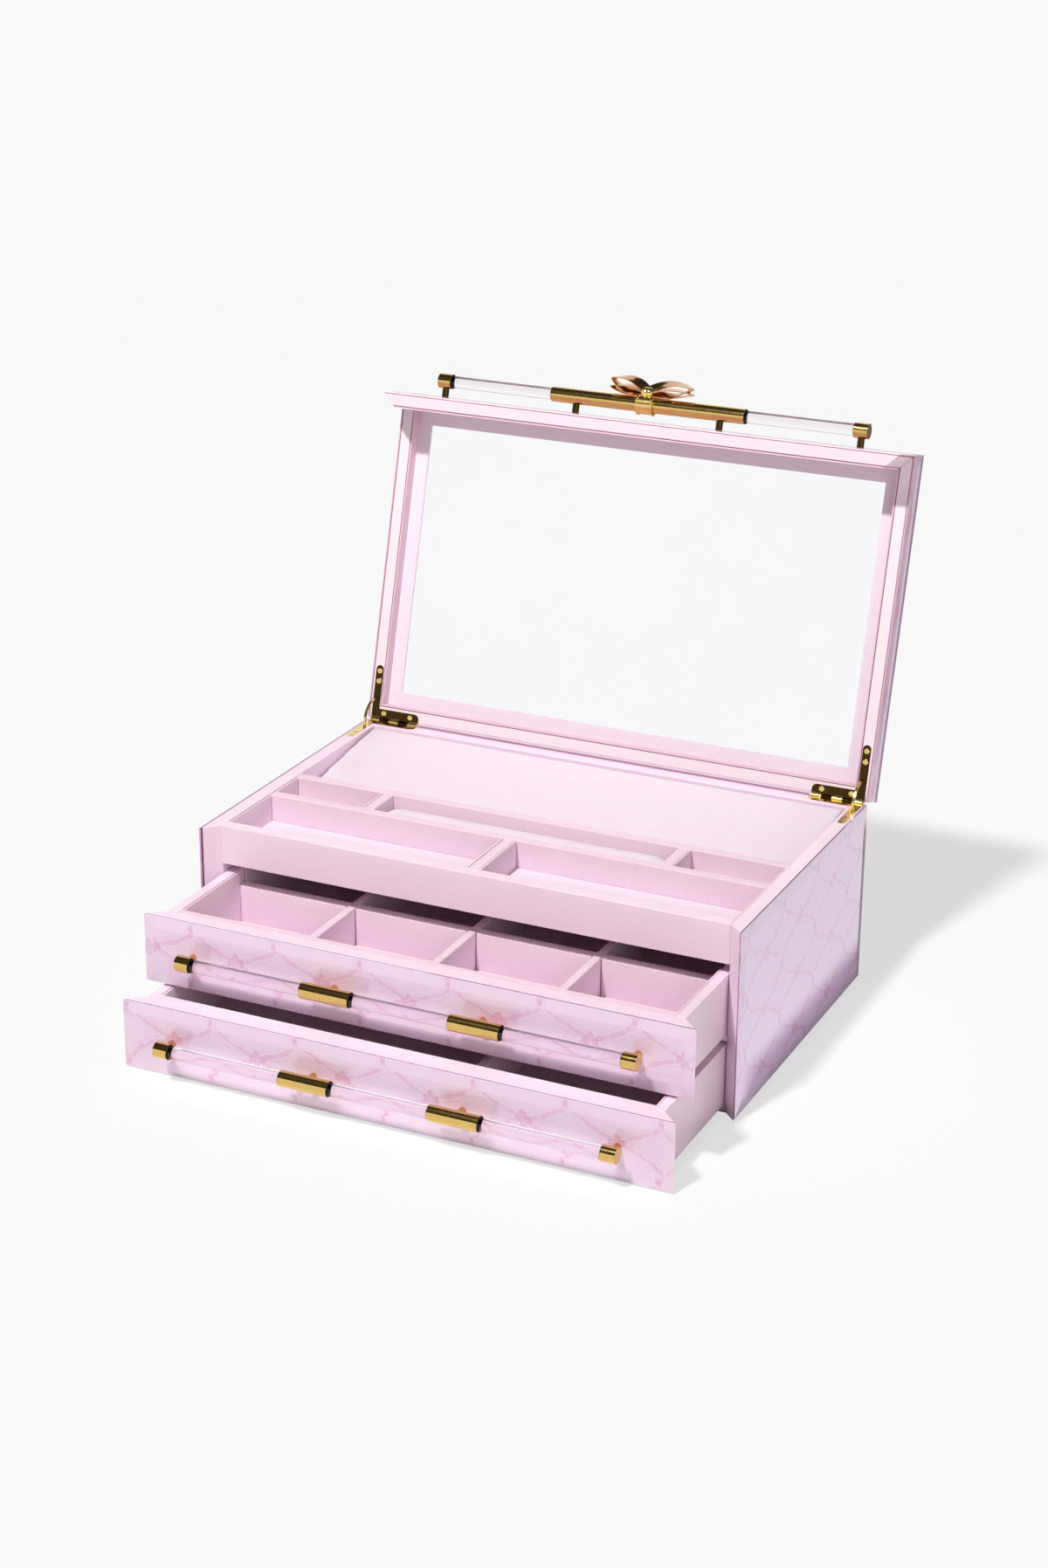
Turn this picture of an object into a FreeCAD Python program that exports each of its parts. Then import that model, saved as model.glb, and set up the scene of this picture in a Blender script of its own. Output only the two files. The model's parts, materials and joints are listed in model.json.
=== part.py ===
import FreeCAD, Part
import math
import os

# Glass-clad jewellery box: a case with a divided tray and two drawers, and a mirrored lid on
# brass quadrant hinges. Millimetres. +X is the right of the box, +Y its back and +Z up, and the
# origin is the centre of the footprint on the surface that the box stands on. Every piece is
# built with the box shut; then the lid is turned open and the drawers are drawn out to rest.

V = FreeCAD.Vector

# Overall box
BOX_W = 380.0                # over the side glass
BOX_D = 234.0                # over the front and back glass
GLASS_T = 2.0
BEVEL_W = 8.0                # width of the ground bevel round each sheet of glass
BEVEL_DEPTH = 0.7
GLASS_LIFT = 3.2             # foot of the case glass above the table
MITRE_GAP = 0.7              # between a front's mitred end and the case side
EDGE_R = 0.5                 # eased edges of the lacquered boards
SOFT_EDGE_R = 0.9            # rounded edges of the suede-covered dividers
OVERRUN = 1.0                # how far every cutter runs past what it cuts

# Front bands
FRONT_LIFT = 1.0             # foot of the lower drawer front, and of the boards, above the table
DRAWER_H = 46.2
BAND_GAP = 1.7               # between two bands of the front
LID_HANG = 31.7              # how far the lid front reaches below the case rim

# Case boards
CASE_WOOD_T = 9.5
BASE_T = 4.5
FELT_INSET = 1.5             # felt edge from the boards' edge
PANEL_T = 4.5                # dust panel between the drawers
DADO_DEPTH = 4.0
DADO_GAP = 0.2
PANEL_SETBACK = 1.5          # panel edges behind the drawer fronts
RAIL_T = 8.5
RAIL_GAP = 0.5               # shut lid lining to the front rail
RAIL_COVER = 4.7             # how far the lid front covers below the rail

# Tray
FLOOR_RISE = 1.5             # tray floor above the rail's foot
FLOOR_T = 5.0
LINING_T = 1.2
LINING_GAP = 0.4
FRONT_ROW_D = 54.5
RING_ROW_D = 29.0
TRAY_DIVIDER_T = 7.3
RING_BAY_L = 207.0
DIVIDER_DROP = 0.6           # tray dividers below the rim
CUSHION_GAP = 1.0
CUSHION_DROP = 4.5           # crown of the ring cushion below the rim
CUSHION_SIDE_H = 8.0
CUSHION_END_L = 14.0         # length over which the cushion's ends round off
PAD_GAP = 0.5
PAD_FRONT_T = 6.0
PAD_REAR_DROP = 0.4          # rear edge of the sloped pad below the rim
PAD_CROWN = 1.2
PAD_EDGE_H = 1.2             # soft rounded edge of the sloped pad

# Drawers
DRAWER_SIDE_GAP = 0.6
RUN_GAP = 0.3                # under a drawer
DRAWER_SIDE_T = 6.5
DRAWER_END_T = 5.5
DRAWER_BOTTOM_T = 4.0
DRAWER_BACK_GAP = 16.0       # behind a shut drawer
DRAWER_DIVIDER_T = 5.6
DRAWER_DIVIDER_DROP = 10.0   # tops of the dividers below the drawer's rim
FRONT_POCKET_D = 71.8        # depth of the upper drawer's front row
UPPER_OUT = 68.3             # how far each drawer stands out at rest
LOWER_OUT = 96.8
upper_column_shares = (0.25, 0.25, 0.25, 0.25)
lower_column_shares = (0.636, 0.364)

# Handles
HANDLE_INSET = 32.0          # handle end from the end of the front
HANDLE_STANDOFF = 11.2       # rod axis from the glass
ROD_R = 4.2
SLEEVE_R = 5.2
SLEEVE_FIT = 0.05
CAP_L = 9.6
CAP_END_T = 2.0
DRAWER_SLEEVE_L = 34.0
DRAWER_SLEEVE_PITCH = 102.6
LID_SLEEVE_L = 142.0
LID_POST_PITCH = 106.0
POST_R = 2.4
STUD_R = 1.5
STUD_FIT = 0.05
STUD_L = 8.0

# Ribbon bow on the lid handle
BOW_BAND_W = 11.0
BOW_BAND_T = 0.9
BOW_RIGHT_L = 34.0           # from the middle to the tip of the right-hand loops
BOW_LEFT_L = 27.5
BOW_UPPER_H = 7.4            # height of the upper loops
BOW_LOWER_H = 4.6
BOW_RIGHT_TILT = 8.0         # degrees that the upper loops rise away from the rod
BOW_LEFT_TILT = 13.0
BOW_LOWER_TILT = 3.0
BOW_KNOT_W = 9.0
BOW_KNOT_R = 4.2
RIBBON_W = 9.0
RIBBON_T = 0.9

# Lid
RIM_GAP = 0.5                # between the shut lid's rim and the case rim
LID_H = 18.6                 # lid above the case rim, without the hanging front
LID_WOOD_T = 7.8
LINER_T = 1.5
MIRROR_RECESS = 9.0          # mirror frame behind the lid's rim
FRAME_T = 3.0
FRAME_LIP = 1.0
FRAME_BORDER = 11.2
MIRROR_LAP = 3.0
MIRROR_FIT = 0.2
LID_OPEN = 105.0             # degrees

# Quadrant hinges
LEAF_T = 1.2
LEAF_W = 5.6
LEAF_INSET = 3.6             # leaf from the outer face of the box side
SIDE_ARM_L = 39.0
BACK_ARM_L = 41.0            # from the outer face of the box side to the arm's tip
LEAF_CORNER_R = 3.4
POCKET_GAP = 0.15
KNUCKLE_COUNT = 5
KNUCKLE_R = 1.7
KNUCKLE_GAP = 0.15
BARREL_GAP = 0.45            # boards and plates from the barrel
PIN_R = 0.8
PIN_FIT = 0.05
SCREW_HEAD_R = 1.9
SCREW_R = 0.95
SCREW_L = 7.0
SCREW_FIT = 0.04
SCREW_FROM_TIP = 4.0
SCREW_PITCH = 7.4
CORNER_SCREW_PITCH = 21.0    # between the two screws of the back arm
STAY_T = 1.2
STAY_W = 1.6
STAY_GAP = 0.3
STAY_HEAD_W = 3.0
STAY_ROOF = 2.4              # shut stay below the top glass
STAY_TAIL = 9.0              # degrees that the open stay runs past each rim

# Levels, worked out from the sizes above
half_w = BOX_W / 2
front = -BOX_D / 2
back = BOX_D / 2
lower_z = FRONT_LIFT
upper_z = lower_z + DRAWER_H + BAND_GAP
lid_foot = upper_z + DRAWER_H + BAND_GAP
rim_z = lid_foot + LID_HANG
axis_z = rim_z + RIM_GAP / 2
lid_rim = rim_z + RIM_GAP
lid_top = rim_z + LID_H
lid_wood_top = lid_top - GLASS_T
frame_z = lid_rim + MIRROR_RECESS
board_z = frame_z + FRAME_T
rail_foot = lid_foot + RAIL_COVER
floor_z = rail_foot + FLOOR_RISE
floor_top = floor_z + FLOOR_T
lining_top = floor_top + LINING_T
base_top = FRONT_LIFT + BASE_T
box_lift = BASE_T + RUN_GAP                     # drawer box above its front's foot
panel_top = upper_z + box_lift - RUN_GAP

# Plan places, worked out from the sizes above
case_wall = GLASS_T + CASE_WOOD_T
lid_wall = GLASS_T + LID_WOOD_T
bay_half = half_w - case_wall
lid_half = half_w - lid_wall
case_rear = back - case_wall
lid_rear = back - lid_wall
rail_front = front + lid_wall + LINER_T + RAIL_GAP
row1_front = rail_front + RAIL_T
row1_back = row1_front + FRONT_ROW_D
row2_front = row1_back + TRAY_DIVIDER_T
row2_back = row2_front + RING_ROW_D
row3_front = row2_back + TRAY_DIVIDER_T
panel_front = front + case_wall + PANEL_SETBACK
rod_y = front - HANDLE_STANDOFF
handle_half = half_w - HANDLE_INSET
lid_handle_z = (lid_foot + lid_top) / 2

# Hinge places, worked out for the right-hand hinge
leaf_x = half_w - LEAF_INSET - LEAF_W / 2
leaf_out = leaf_x + LEAF_W / 2
leaf_rear = back - KNUCKLE_R - BARREL_GAP
leaf_tip_x = half_w - BACK_ARM_L
stay_half = (LID_OPEN + 2 * STAY_TAIL) / 2
stay_r = (lid_wood_top - axis_z - STAY_T / 2 - STAY_ROOF) / math.sin(math.radians(stay_half))


def box(x0, x1, y0, y1, z0, z1):
    """Block between two corners."""
    return Part.makeBox(x1 - x0, y1 - y0, z1 - z0, V(x0, y0, z0))


def eased(shape, r):
    """A piece with all its edges rounded."""
    return shape.makeFillet(r, shape.Edges)


def outline(points):
    """Closed wire through corner points."""
    return Part.makePolygon(points + points[:1])


def prism(plan, z0, z1):
    """Upright prism on a plan outline of (x, y) corners."""
    return Part.Face(outline([V(x, y, z0) for x, y in plan])).extrude(V(0, 0, z1 - z0))


def bar_x(y, z, r, x0, x1):
    """Round bar along X."""
    return Part.makeCylinder(r, x1 - x0, V(x0, y, z), V(1, 0, 0))


def bar_y(x, z, r, y0, y1):
    """Round bar along Y."""
    return Part.makeCylinder(r, y1 - y0, V(x, y0, z), V(0, 1, 0))


def tube_x(y, z, r_out, r_in, x0, x1):
    """Round tube along X."""
    bore = bar_x(y, z, r_in, x0 - OVERRUN, x1 + OVERRUN)
    return bar_x(y, z, r_out, x0, x1).cut(bore)


def mirrored(shape):
    """The same piece on the other side of the box."""
    return shape.mirror(V(0, 0, 0), V(1, 0, 0))


def both(shape):
    """A piece and its mirror image."""
    return [shape, mirrored(shape)]


def cut_all(shape, cutters):
    """A piece with every cutter taken out of it."""
    for cutter in cutters:
        shape = shape.cut(cutter)
    return shape


def fuse_all(shapes):
    """One solid from touching pieces."""
    whole = shapes[0]
    for shape in shapes[1:]:
        whole = whole.fuse(shape)
    return whole.removeSplitter()


# Glass


def glass_sheet(width, height, mitre):
    """Bevelled sheet standing on the X axis, outer face at y = 0 looking to -Y.

    A mitre of 1 slopes both ends at 45 degrees, and 0 leaves them square.
    """
    half = width / 2

    def ring(y, inset, low):
        left, right, high = inset - half, half - inset, height - low
        return outline([V(left, y, low), V(right, y, low), V(right, y, high), V(left, y, high)])

    rings = [ring(GLASS_T, mitre * GLASS_T, 0), ring(BEVEL_DEPTH, mitre * BEVEL_DEPTH, 0)]
    rings.append(ring(0, BEVEL_W, BEVEL_W))
    return Part.makeLoft(rings, True, True)


def placed(shape, base, axis, degrees):
    """A piece turned about an axis through the origin, then moved."""
    shape.Placement = FreeCAD.Placement(base, FreeCAD.Rotation(axis, degrees))
    return shape


def front_glass(z0, z1):
    """Glass on the face of a front."""
    return placed(glass_sheet(BOX_W, z1 - z0, 1), V(0, front, z0), V(0, 0, 1), 0)


def right_glass(z0, z1, front_gap):
    """Glass on the right side, its front end held back by a gap."""
    sheet = glass_sheet(BOX_D - front_gap, z1 - z0, 1)
    return placed(sheet, V(half_w, front_gap / 2, z0), V(0, 0, 1), 90)


def back_glass(z0, z1):
    """Glass on the back."""
    return placed(glass_sheet(BOX_W, z1 - z0, 1), V(0, back, z0), V(0, 0, 1), 180)


def top_glass():
    """Glass on the lid."""
    return placed(glass_sheet(BOX_W, BOX_D, 0), V(0, front, lid_top), V(1, 0, 0), -90)


# Mitred boards


def front_board(depth0, depth1, z0, z1):
    """Board behind the front plane with both ends mitred into the corners."""
    near, far = half_w - depth0, half_w - depth1
    y0, y1 = front + depth0, front + depth1
    return prism([(-near, y0), (near, y0), (far, y1), (-far, y1)], z0, z1)


def front_face_board(depth1, z0, z1):
    """Board that carries the glass of a front, with eased edges."""
    return eased(front_board(GLASS_T, depth1, z0, z1), EDGE_R)


def right_board(wall, gap, z0, z1):
    """Side board inside the glass, its front edge mitred and held back by a gap."""
    outer, inner = half_w - GLASS_T, half_w - wall
    y_out, y_in = front + GLASS_T + gap, front + wall + gap
    rear = back - GLASS_T
    return eased(prism([(outer, y_out), (outer, rear), (inner, rear), (inner, y_in)], z0, z1), EDGE_R)


# Quadrant hinges, right-hand side


def arc_band(r0, r1, degrees0, degrees1, x0, x1):
    """Curved strip about the hinge axis; 0 degrees points to the front and 90 upwards."""
    def point(r, degrees):
        turn = math.radians(degrees)
        return V(x0, back - r * math.cos(turn), axis_z + r * math.sin(turn))

    middle = (degrees0 + degrees1) / 2
    edges = [
        Part.Arc(point(r1, degrees0), point(r1, middle), point(r1, degrees1)).toShape(),
        Part.LineSegment(point(r1, degrees1), point(r0, degrees1)).toShape(),
        Part.Arc(point(r0, degrees1), point(r0, middle), point(r0, degrees0)).toShape(),
        Part.LineSegment(point(r0, degrees0), point(r1, degrees0)).toShape(),
    ]
    return Part.Face(Part.Wire(edges)).extrude(V(x1 - x0, 0, 0))


def stay_arc(grow, width, degrees0, degrees1):
    """Stretch of the hinge stay, or of the slot for it when grown."""
    thick = STAY_T / 2 + grow
    wide = width / 2 + grow
    return arc_band(stay_r - thick, stay_r + thick, degrees0, degrees1, leaf_x - wide, leaf_x + wide)


def leaf_plate(z0, z1, grow):
    """L-shaped hinge plate with a rounded side arm and one rounded corner on the back arm."""
    outer, inner = leaf_out + grow, leaf_out - LEAF_W - grow
    tip_y = back - SIDE_ARM_L - grow
    round_y = tip_y + LEAF_W / 2 + grow
    arm_y = leaf_rear - LEAF_W - grow
    tip_x = leaf_tip_x - grow
    corner = LEAF_CORNER_R + grow
    bow = corner * (1 - math.sqrt(1 / 2))

    def line(p, q):
        return Part.LineSegment(V(*p, z0), V(*q, z0)).toShape()

    def arc(p, q, r):
        return Part.Arc(V(*p, z0), V(*q, z0), V(*r, z0)).toShape()

    edges = [
        line((outer, leaf_rear), (outer, round_y)),
        arc((outer, round_y), (leaf_x, tip_y), (inner, round_y)),
        line((inner, round_y), (inner, arm_y)),
        line((inner, arm_y), (tip_x + corner, arm_y)),
        arc((tip_x + corner, arm_y), (tip_x + bow, arm_y + bow), (tip_x, arm_y + corner)),
        line((tip_x, arm_y + corner), (tip_x, leaf_rear)),
        line((tip_x, leaf_rear), (outer, leaf_rear)),
    ]
    return Part.Face(Part.Wire(edges)).extrude(V(0, 0, z1 - z0))


def knuckle(index, z0, z1):
    """One knuckle of the barrel with the web that joins it to its leaf."""
    pitch = (leaf_out - leaf_tip_x) / KNUCKLE_COUNT
    x0 = leaf_tip_x + index * pitch + KNUCKLE_GAP / 2
    x1 = x0 + pitch - KNUCKLE_GAP
    web = box(x0, x1, leaf_rear, back, z0, z1)
    return bar_x(back, axis_z, KNUCKLE_R, x0, x1).fuse(web)


def screw_places():
    """Plan places of one leaf's screws."""
    first = back - SIDE_ARM_L + SCREW_FROM_TIP
    arm_y = leaf_rear - LEAF_W / 2
    tip = leaf_tip_x + LEAF_W / 2 + SCREW_FROM_TIP
    return [(leaf_x, first), (leaf_x, first + SCREW_PITCH), (tip, arm_y), (tip + CORNER_SCREW_PITCH, arm_y)]


def screws(face_z, way, fit):
    """Countersunk screws of one leaf, driven the way of +1 or -1 along Z from the leaf's face."""
    axis = V(0, 0, way)
    solids = []
    for x, y in screw_places():
        start = V(x, y, face_z)
        head = Part.makeCone(SCREW_HEAD_R + fit, SCREW_R + fit, LEAF_T, start, axis)
        solids.append(head.fuse(Part.makeCylinder(SCREW_R + fit, SCREW_L, start, axis)).removeSplitter())
    return solids


def hinge_leaf(z0, first, face_z, way):
    """Leaf with its own knuckles, screw holes and stay slot."""
    z1 = z0 + LEAF_T
    knuckles = [knuckle(index, z0, z1) for index in range(first, KNUCKLE_COUNT, 2)]
    leaf = fuse_all([leaf_plate(z0, z1, 0)] + knuckles)
    pin_hole = bar_x(back, axis_z, PIN_R + PIN_FIT, leaf_tip_x - OVERRUN, leaf_out + OVERRUN)
    slot = stay_arc(STAY_GAP, STAY_W, -stay_half, stay_half)
    return cut_all(leaf, [pin_hole, slot] + screws(face_z, way, SCREW_FIT))


def hinge_cutters(z0, z1, face_z, way, degrees0, degrees1):
    """What one leaf, its barrel, stay and screws take out of the boards and glass."""
    pocket = leaf_plate(z0, z1, POCKET_GAP)
    throat = box(leaf_tip_x - POCKET_GAP, leaf_out + POCKET_GAP, leaf_rear, back + OVERRUN, z0, z1)
    clear_r = KNUCKLE_R + BARREL_GAP
    barrel = bar_x(back, axis_z, clear_r, leaf_tip_x - POCKET_GAP, leaf_out + POCKET_GAP)
    mortise = stay_arc(STAY_GAP, STAY_HEAD_W, degrees0, degrees1)
    return [pocket, throat, barrel, mortise] + screws(face_z, way, SCREW_FIT)


def stay():
    """Curved stay with a wider head at each end, where it stands with the lid open."""
    neck = math.degrees((RIM_GAP / 2 + LEAF_T + STAY_GAP) / stay_r)
    top = LID_OPEN + STAY_TAIL
    strip = stay_arc(0, STAY_W, -STAY_TAIL, top)
    foot = stay_arc(0, STAY_HEAD_W, -STAY_TAIL, -neck)
    head = stay_arc(0, STAY_HEAD_W, LID_OPEN + neck, top)
    return fuse_all([strip, foot, head])


mortise_end = stay_half + STAY_TAIL / 2
case_leaf_z = rim_z - LEAF_T
case_cutters = hinge_cutters(
    case_leaf_z - POCKET_GAP, rim_z + OVERRUN, rim_z, -1, -mortise_end, STAY_TAIL
)
lid_cutters = hinge_cutters(
    lid_rim - OVERRUN, lid_rim + LEAF_T + POCKET_GAP, lid_rim, 1, -STAY_TAIL, mortise_end
)


def both_cutters(cutters):
    """Cutters of both hinges."""
    return cutters + [mirrored(cutter) for cutter in cutters]


# Handles


def handle_posts(places, z, sleeve_r):
    """Posts from the glass to the rod's sleeves, each with a stud into the front."""
    posts = []
    seat = bar_x(rod_y, z, sleeve_r, -half_w, half_w)
    for x in places:
        stem = bar_y(x, z, POST_R, rod_y, front).cut(seat)
        stud = bar_y(x, z, STUD_R, front, front + STUD_L)
        posts.append(stem.fuse(stud).removeSplitter())
    return posts


def stud_holes(places, z):
    """Holes for the posts' studs."""
    r = STUD_R + STUD_FIT
    return [bar_y(x, z, r, front - OVERRUN, front + STUD_L + STUD_FIT) for x in places]


def handle_rod(z):
    """Clear rod that runs from cap to cap."""
    reach = handle_half - CAP_END_T
    return bar_x(rod_y, z, ROD_R, -reach, reach)


def end_caps(z):
    """Cup-shaped caps on both ends of the rod."""
    cup = bar_x(rod_y, z, SLEEVE_R, handle_half - CAP_L, handle_half)
    bore = bar_x(rod_y, z, ROD_R + SLEEVE_FIT, handle_half - CAP_L - OVERRUN, handle_half - CAP_END_T)
    return both(cup.cut(bore))


def sleeve(x, length, z):
    """Tube round the rod."""
    return tube_x(rod_y, z, SLEEVE_R, ROD_R + SLEEVE_FIT, x - length / 2, x + length / 2)


def cap_places():
    """Where the end caps' posts stand."""
    x = handle_half - CAP_L / 2
    return [-x, x]


# Ribbon bow, in the lid's shut frame, with its loops standing out from the rod


def bow_loop(length, height, tilt, rise):
    """Right-hand loop: a thin teardrop ring as deep as the ribbon is wide, tilted off the rod."""
    swell_share, tip_share, crest_share = 0.5, 0.86, 0.46
    pinch = RIBBON_T * 2
    crest = height * crest_share
    turn = math.radians(tilt)

    def at(u, v):
        x = u * math.cos(turn) - v * math.sin(turn)
        out = rise + u * math.sin(turn) + v * math.cos(turn)
        return V(x, rod_y - out, lid_handle_z - RIBBON_W / 2)

    swell, tip = length * swell_share, length * tip_share
    edges = [
        Part.Arc(at(0, -pinch), at(swell, -height / 2), at(tip, -crest)).toShape(),
        Part.Arc(at(tip, -crest), at(length, 0), at(tip, crest)).toShape(),
        Part.Arc(at(tip, crest), at(swell, height / 2), at(0, pinch)).toShape(),
        Part.LineSegment(at(0, pinch), at(0, -pinch)).toShape(),
    ]
    rim = Part.Wire(edges)
    hollow = rim.makeOffset2D(-RIBBON_T)
    depth = V(0, 0, RIBBON_W)
    return Part.Face(rim).extrude(depth).cut(Part.Face(hollow).extrude(depth))


def ribbon_bow():
    """Band round the sleeve, knot and two loops to each side as one casting."""
    half_band = BOW_BAND_W / 2
    band_r = SLEEVE_R + BOW_BAND_T
    band = bar_x(rod_y, lid_handle_z, band_r, -half_band, half_band)
    low = band_r + BOW_LOWER_H / 2
    high = low + RIBBON_T
    knot_y = rod_y - band_r - BOW_KNOT_R / 2
    knot = bar_x(knot_y, lid_handle_z, BOW_KNOT_R, -BOW_KNOT_W / 2, BOW_KNOT_W / 2)
    loops = [
        bow_loop(BOW_RIGHT_L, BOW_UPPER_H, BOW_RIGHT_TILT, high),
        bow_loop(BOW_RIGHT_L, BOW_LOWER_H, BOW_LOWER_TILT, low),
        mirrored(bow_loop(BOW_LEFT_L, BOW_UPPER_H, BOW_LEFT_TILT, high)),
        mirrored(bow_loop(BOW_LEFT_L, BOW_LOWER_H, BOW_LOWER_TILT, low)),
    ]
    bore = bar_x(rod_y, lid_handle_z, SLEEVE_R + SLEEVE_FIT, -half_w, half_w)
    return fuse_all([band, knot] + loops).cut(bore)


# Soft pieces


def cushion_section(x, share):
    """Section of the ring cushion: flat foot, low sides and a crowned top."""
    half = (RING_ROW_D / 2 - CUSHION_GAP) * share
    middle = (row2_front + row2_back) / 2
    foot = floor_top
    side = foot + CUSHION_SIDE_H * share
    crown = foot + (rim_z - CUSHION_DROP - foot) * share
    a, b = V(x, middle - half, foot), V(x, middle - half, side)
    c, d = V(x, middle + half, side), V(x, middle + half, foot)
    edges = [
        Part.LineSegment(a, b).toShape(),
        Part.Arc(b, V(x, middle, crown), c).toShape(),
        Part.LineSegment(c, d).toShape(),
        Part.LineSegment(d, a).toShape(),
    ]
    return Part.Wire(edges)


def ring_cushion():
    """Crowned roll whose ends round off and draw in."""
    end = RING_BAY_L / 2 - CUSHION_GAP
    run_shares = (0, 0.1, 0.28, 0.55, 1)
    size_shares = (0.66, 0.82, 0.92, 0.98, 1)
    stations = [(end - CUSHION_END_L * run, size) for run, size in zip(run_shares, size_shares)]
    sections = [cushion_section(-x, size) for x, size in stations]
    sections += [cushion_section(x, size) for x, size in reversed(stations)]
    return Part.makeLoft(sections, True, True)


def sloped_pad():
    """Wedge pad that rises from the rear row's front to the rim, softly crowned on top."""
    y0, y1 = row3_front + PAD_GAP, case_rear - PAD_GAP
    reach = bay_half - PAD_GAP
    low, high = floor_top + PAD_FRONT_T, rim_z - PAD_REAR_DROP
    middle_y, middle_z = (y0 + y1) / 2, (low + high) / 2 + PAD_CROWN

    def at(y, z):
        return V(-reach, y, z)

    edges = [
        Part.LineSegment(at(y0, floor_top), at(y0, low - PAD_EDGE_H)).toShape(),
        Part.LineSegment(at(y0, low - PAD_EDGE_H), at(y0 + PAD_EDGE_H, low)).toShape(),
        Part.Arc(at(y0 + PAD_EDGE_H, low), at(middle_y, middle_z), at(y1 - PAD_EDGE_H, high)).toShape(),
        Part.LineSegment(at(y1 - PAD_EDGE_H, high), at(y1, high - PAD_EDGE_H)).toShape(),
        Part.LineSegment(at(y1, high - PAD_EDGE_H), at(y1, floor_top)).toShape(),
        Part.LineSegment(at(y1, floor_top), at(y0, floor_top)).toShape(),
    ]
    return Part.Face(Part.Wire(edges)).extrude(V(2 * reach, 0, 0))


# Case


def case_side():
    """Right-hand side board with its dadoes and hinge recesses."""
    board = right_board(case_wall, MITRE_GAP, FRONT_LIFT, rim_z)
    deep = bay_half + DADO_DEPTH
    floor_dado = box(bay_half - OVERRUN, deep, row1_front, case_rear, floor_z, floor_top)
    panel_dado = box(bay_half - OVERRUN, deep, panel_front, case_rear, panel_top - PANEL_T, panel_top)
    return cut_all(board, [floor_dado, panel_dado] + case_cutters)


def housed_panel(y0, z0, z1):
    """Panel held in the dadoes of both sides."""
    reach = bay_half + DADO_DEPTH - DADO_GAP
    return box(-reach, reach, y0, case_rear, z0, z1)


def tray_bays():
    """Plan rectangles of the tray's open compartments: x0, x1, y0, y1."""
    gap = TRAY_DIVIDER_T / 2
    ring = RING_BAY_L / 2 + TRAY_DIVIDER_T
    return [
        (-bay_half, -gap, row1_front, row1_back),
        (gap, bay_half, row1_front, row1_back),
        (-bay_half, -ring, row2_front, row2_back),
        (ring, bay_half, row2_front, row2_back),
    ]


def lining(bays, z0):
    """Thin lining sheets on the floors of compartments."""
    g = LINING_GAP
    return [box(x0 + g, x1 - g, y0 + g, y1 - g, z0, z0 + LINING_T) for x0, x1, y0, y1 in bays]


def tray_dividers():
    """Two long dividers, and three short ones between them and the rail."""
    top = rim_z - DIVIDER_DROP
    gap = TRAY_DIVIDER_T / 2
    ring = RING_BAY_L / 2
    long_ones = [
        box(-bay_half, bay_half, y, y + TRAY_DIVIDER_T, floor_top, top) for y in (row1_back, row2_back)
    ]
    short_ones = [box(-gap, gap, row1_front, row1_back, floor_top, top)]
    short_ones += both(box(ring, ring + TRAY_DIVIDER_T, row2_front, row2_back, floor_top, top))
    return [eased(s, SOFT_EDGE_R) for s in long_ones], [eased(s, SOFT_EDGE_R) for s in short_ones]


def felt_sheet():
    """Felt under the whole case."""
    reach = half_w - GLASS_T - FELT_INSET
    return box(-reach, reach, panel_front, back - GLASS_T - FELT_INSET, 0, FRONT_LIFT)


def case_pieces():
    """Nodes of the fixed case."""
    cutters = both_cutters(case_cutters)
    side = case_side()
    rear = eased(box(-bay_half, bay_half, case_rear, back - GLASS_T, FRONT_LIFT, rim_z), EDGE_R)
    rail = eased(box(-bay_half, bay_half, rail_front, row1_front, rail_foot, rim_z), EDGE_R)
    long_dividers, short_dividers = tray_dividers()
    glass = right_glass(GLASS_LIFT, rim_z, MITRE_GAP)
    leaf = hinge_leaf(case_leaf_z, 0, rim_z, -1)
    pin = bar_x(back, axis_z, PIN_R, leaf_tip_x, leaf_out)
    return {
        "base_felt": [felt_sheet()],
        "base_board": [box(-bay_half, bay_half, panel_front, case_rear, FRONT_LIFT, base_top)],
        "case_side_right": [side],
        "case_side_left": [mirrored(side)],
        "case_back": [cut_all(rear, cutters)],
        "front_rail": [rail],
        "dust_panel": [housed_panel(panel_front, panel_top - PANEL_T, panel_top)],
        "tray_floor": [housed_panel(row1_front, floor_z, floor_top)],
        "tray_long_dividers": long_dividers,
        "tray_short_dividers": short_dividers,
        "tray_lining": lining(tray_bays(), floor_top),
        "ring_cushion": [ring_cushion()],
        "sloped_pad": [sloped_pad()],
        "case_side_glass": both(glass),
        "case_back_glass": [cut_all(back_glass(GLASS_LIFT, rim_z), cutters)],
        "case_hinge_leaves": both(leaf),
        "hinge_pins": both(pin),
        "case_hinge_screws": [s for screw in screws(rim_z, -1, 0) for s in both(screw)],
    }


# Drawers


def drawer_bays(y0, y1, column_shares):
    """Plan rectangles of one row of drawer compartments: x0, x1, y0, y1."""
    inner = bay_half - DRAWER_SIDE_GAP - DRAWER_SIDE_T
    clear = 2 * inner - (len(column_shares) - 1) * DRAWER_DIVIDER_T
    bays, x = [], -inner
    for share in column_shares:
        bays.append((x, x + share * clear, y0, y1))
        x += share * clear + DRAWER_DIVIDER_T
    return bays


def drawer_rows(split):
    """Front and back of each row of compartments in a drawer."""
    y0 = front + case_wall + DRAWER_END_T
    y1 = case_rear - DRAWER_BACK_GAP - DRAWER_END_T
    if not split:
        return [(y0, y1)]
    divide = y0 + FRONT_POCKET_D
    return [(y0, divide), (divide + DRAWER_DIVIDER_T, y1)]


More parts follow.
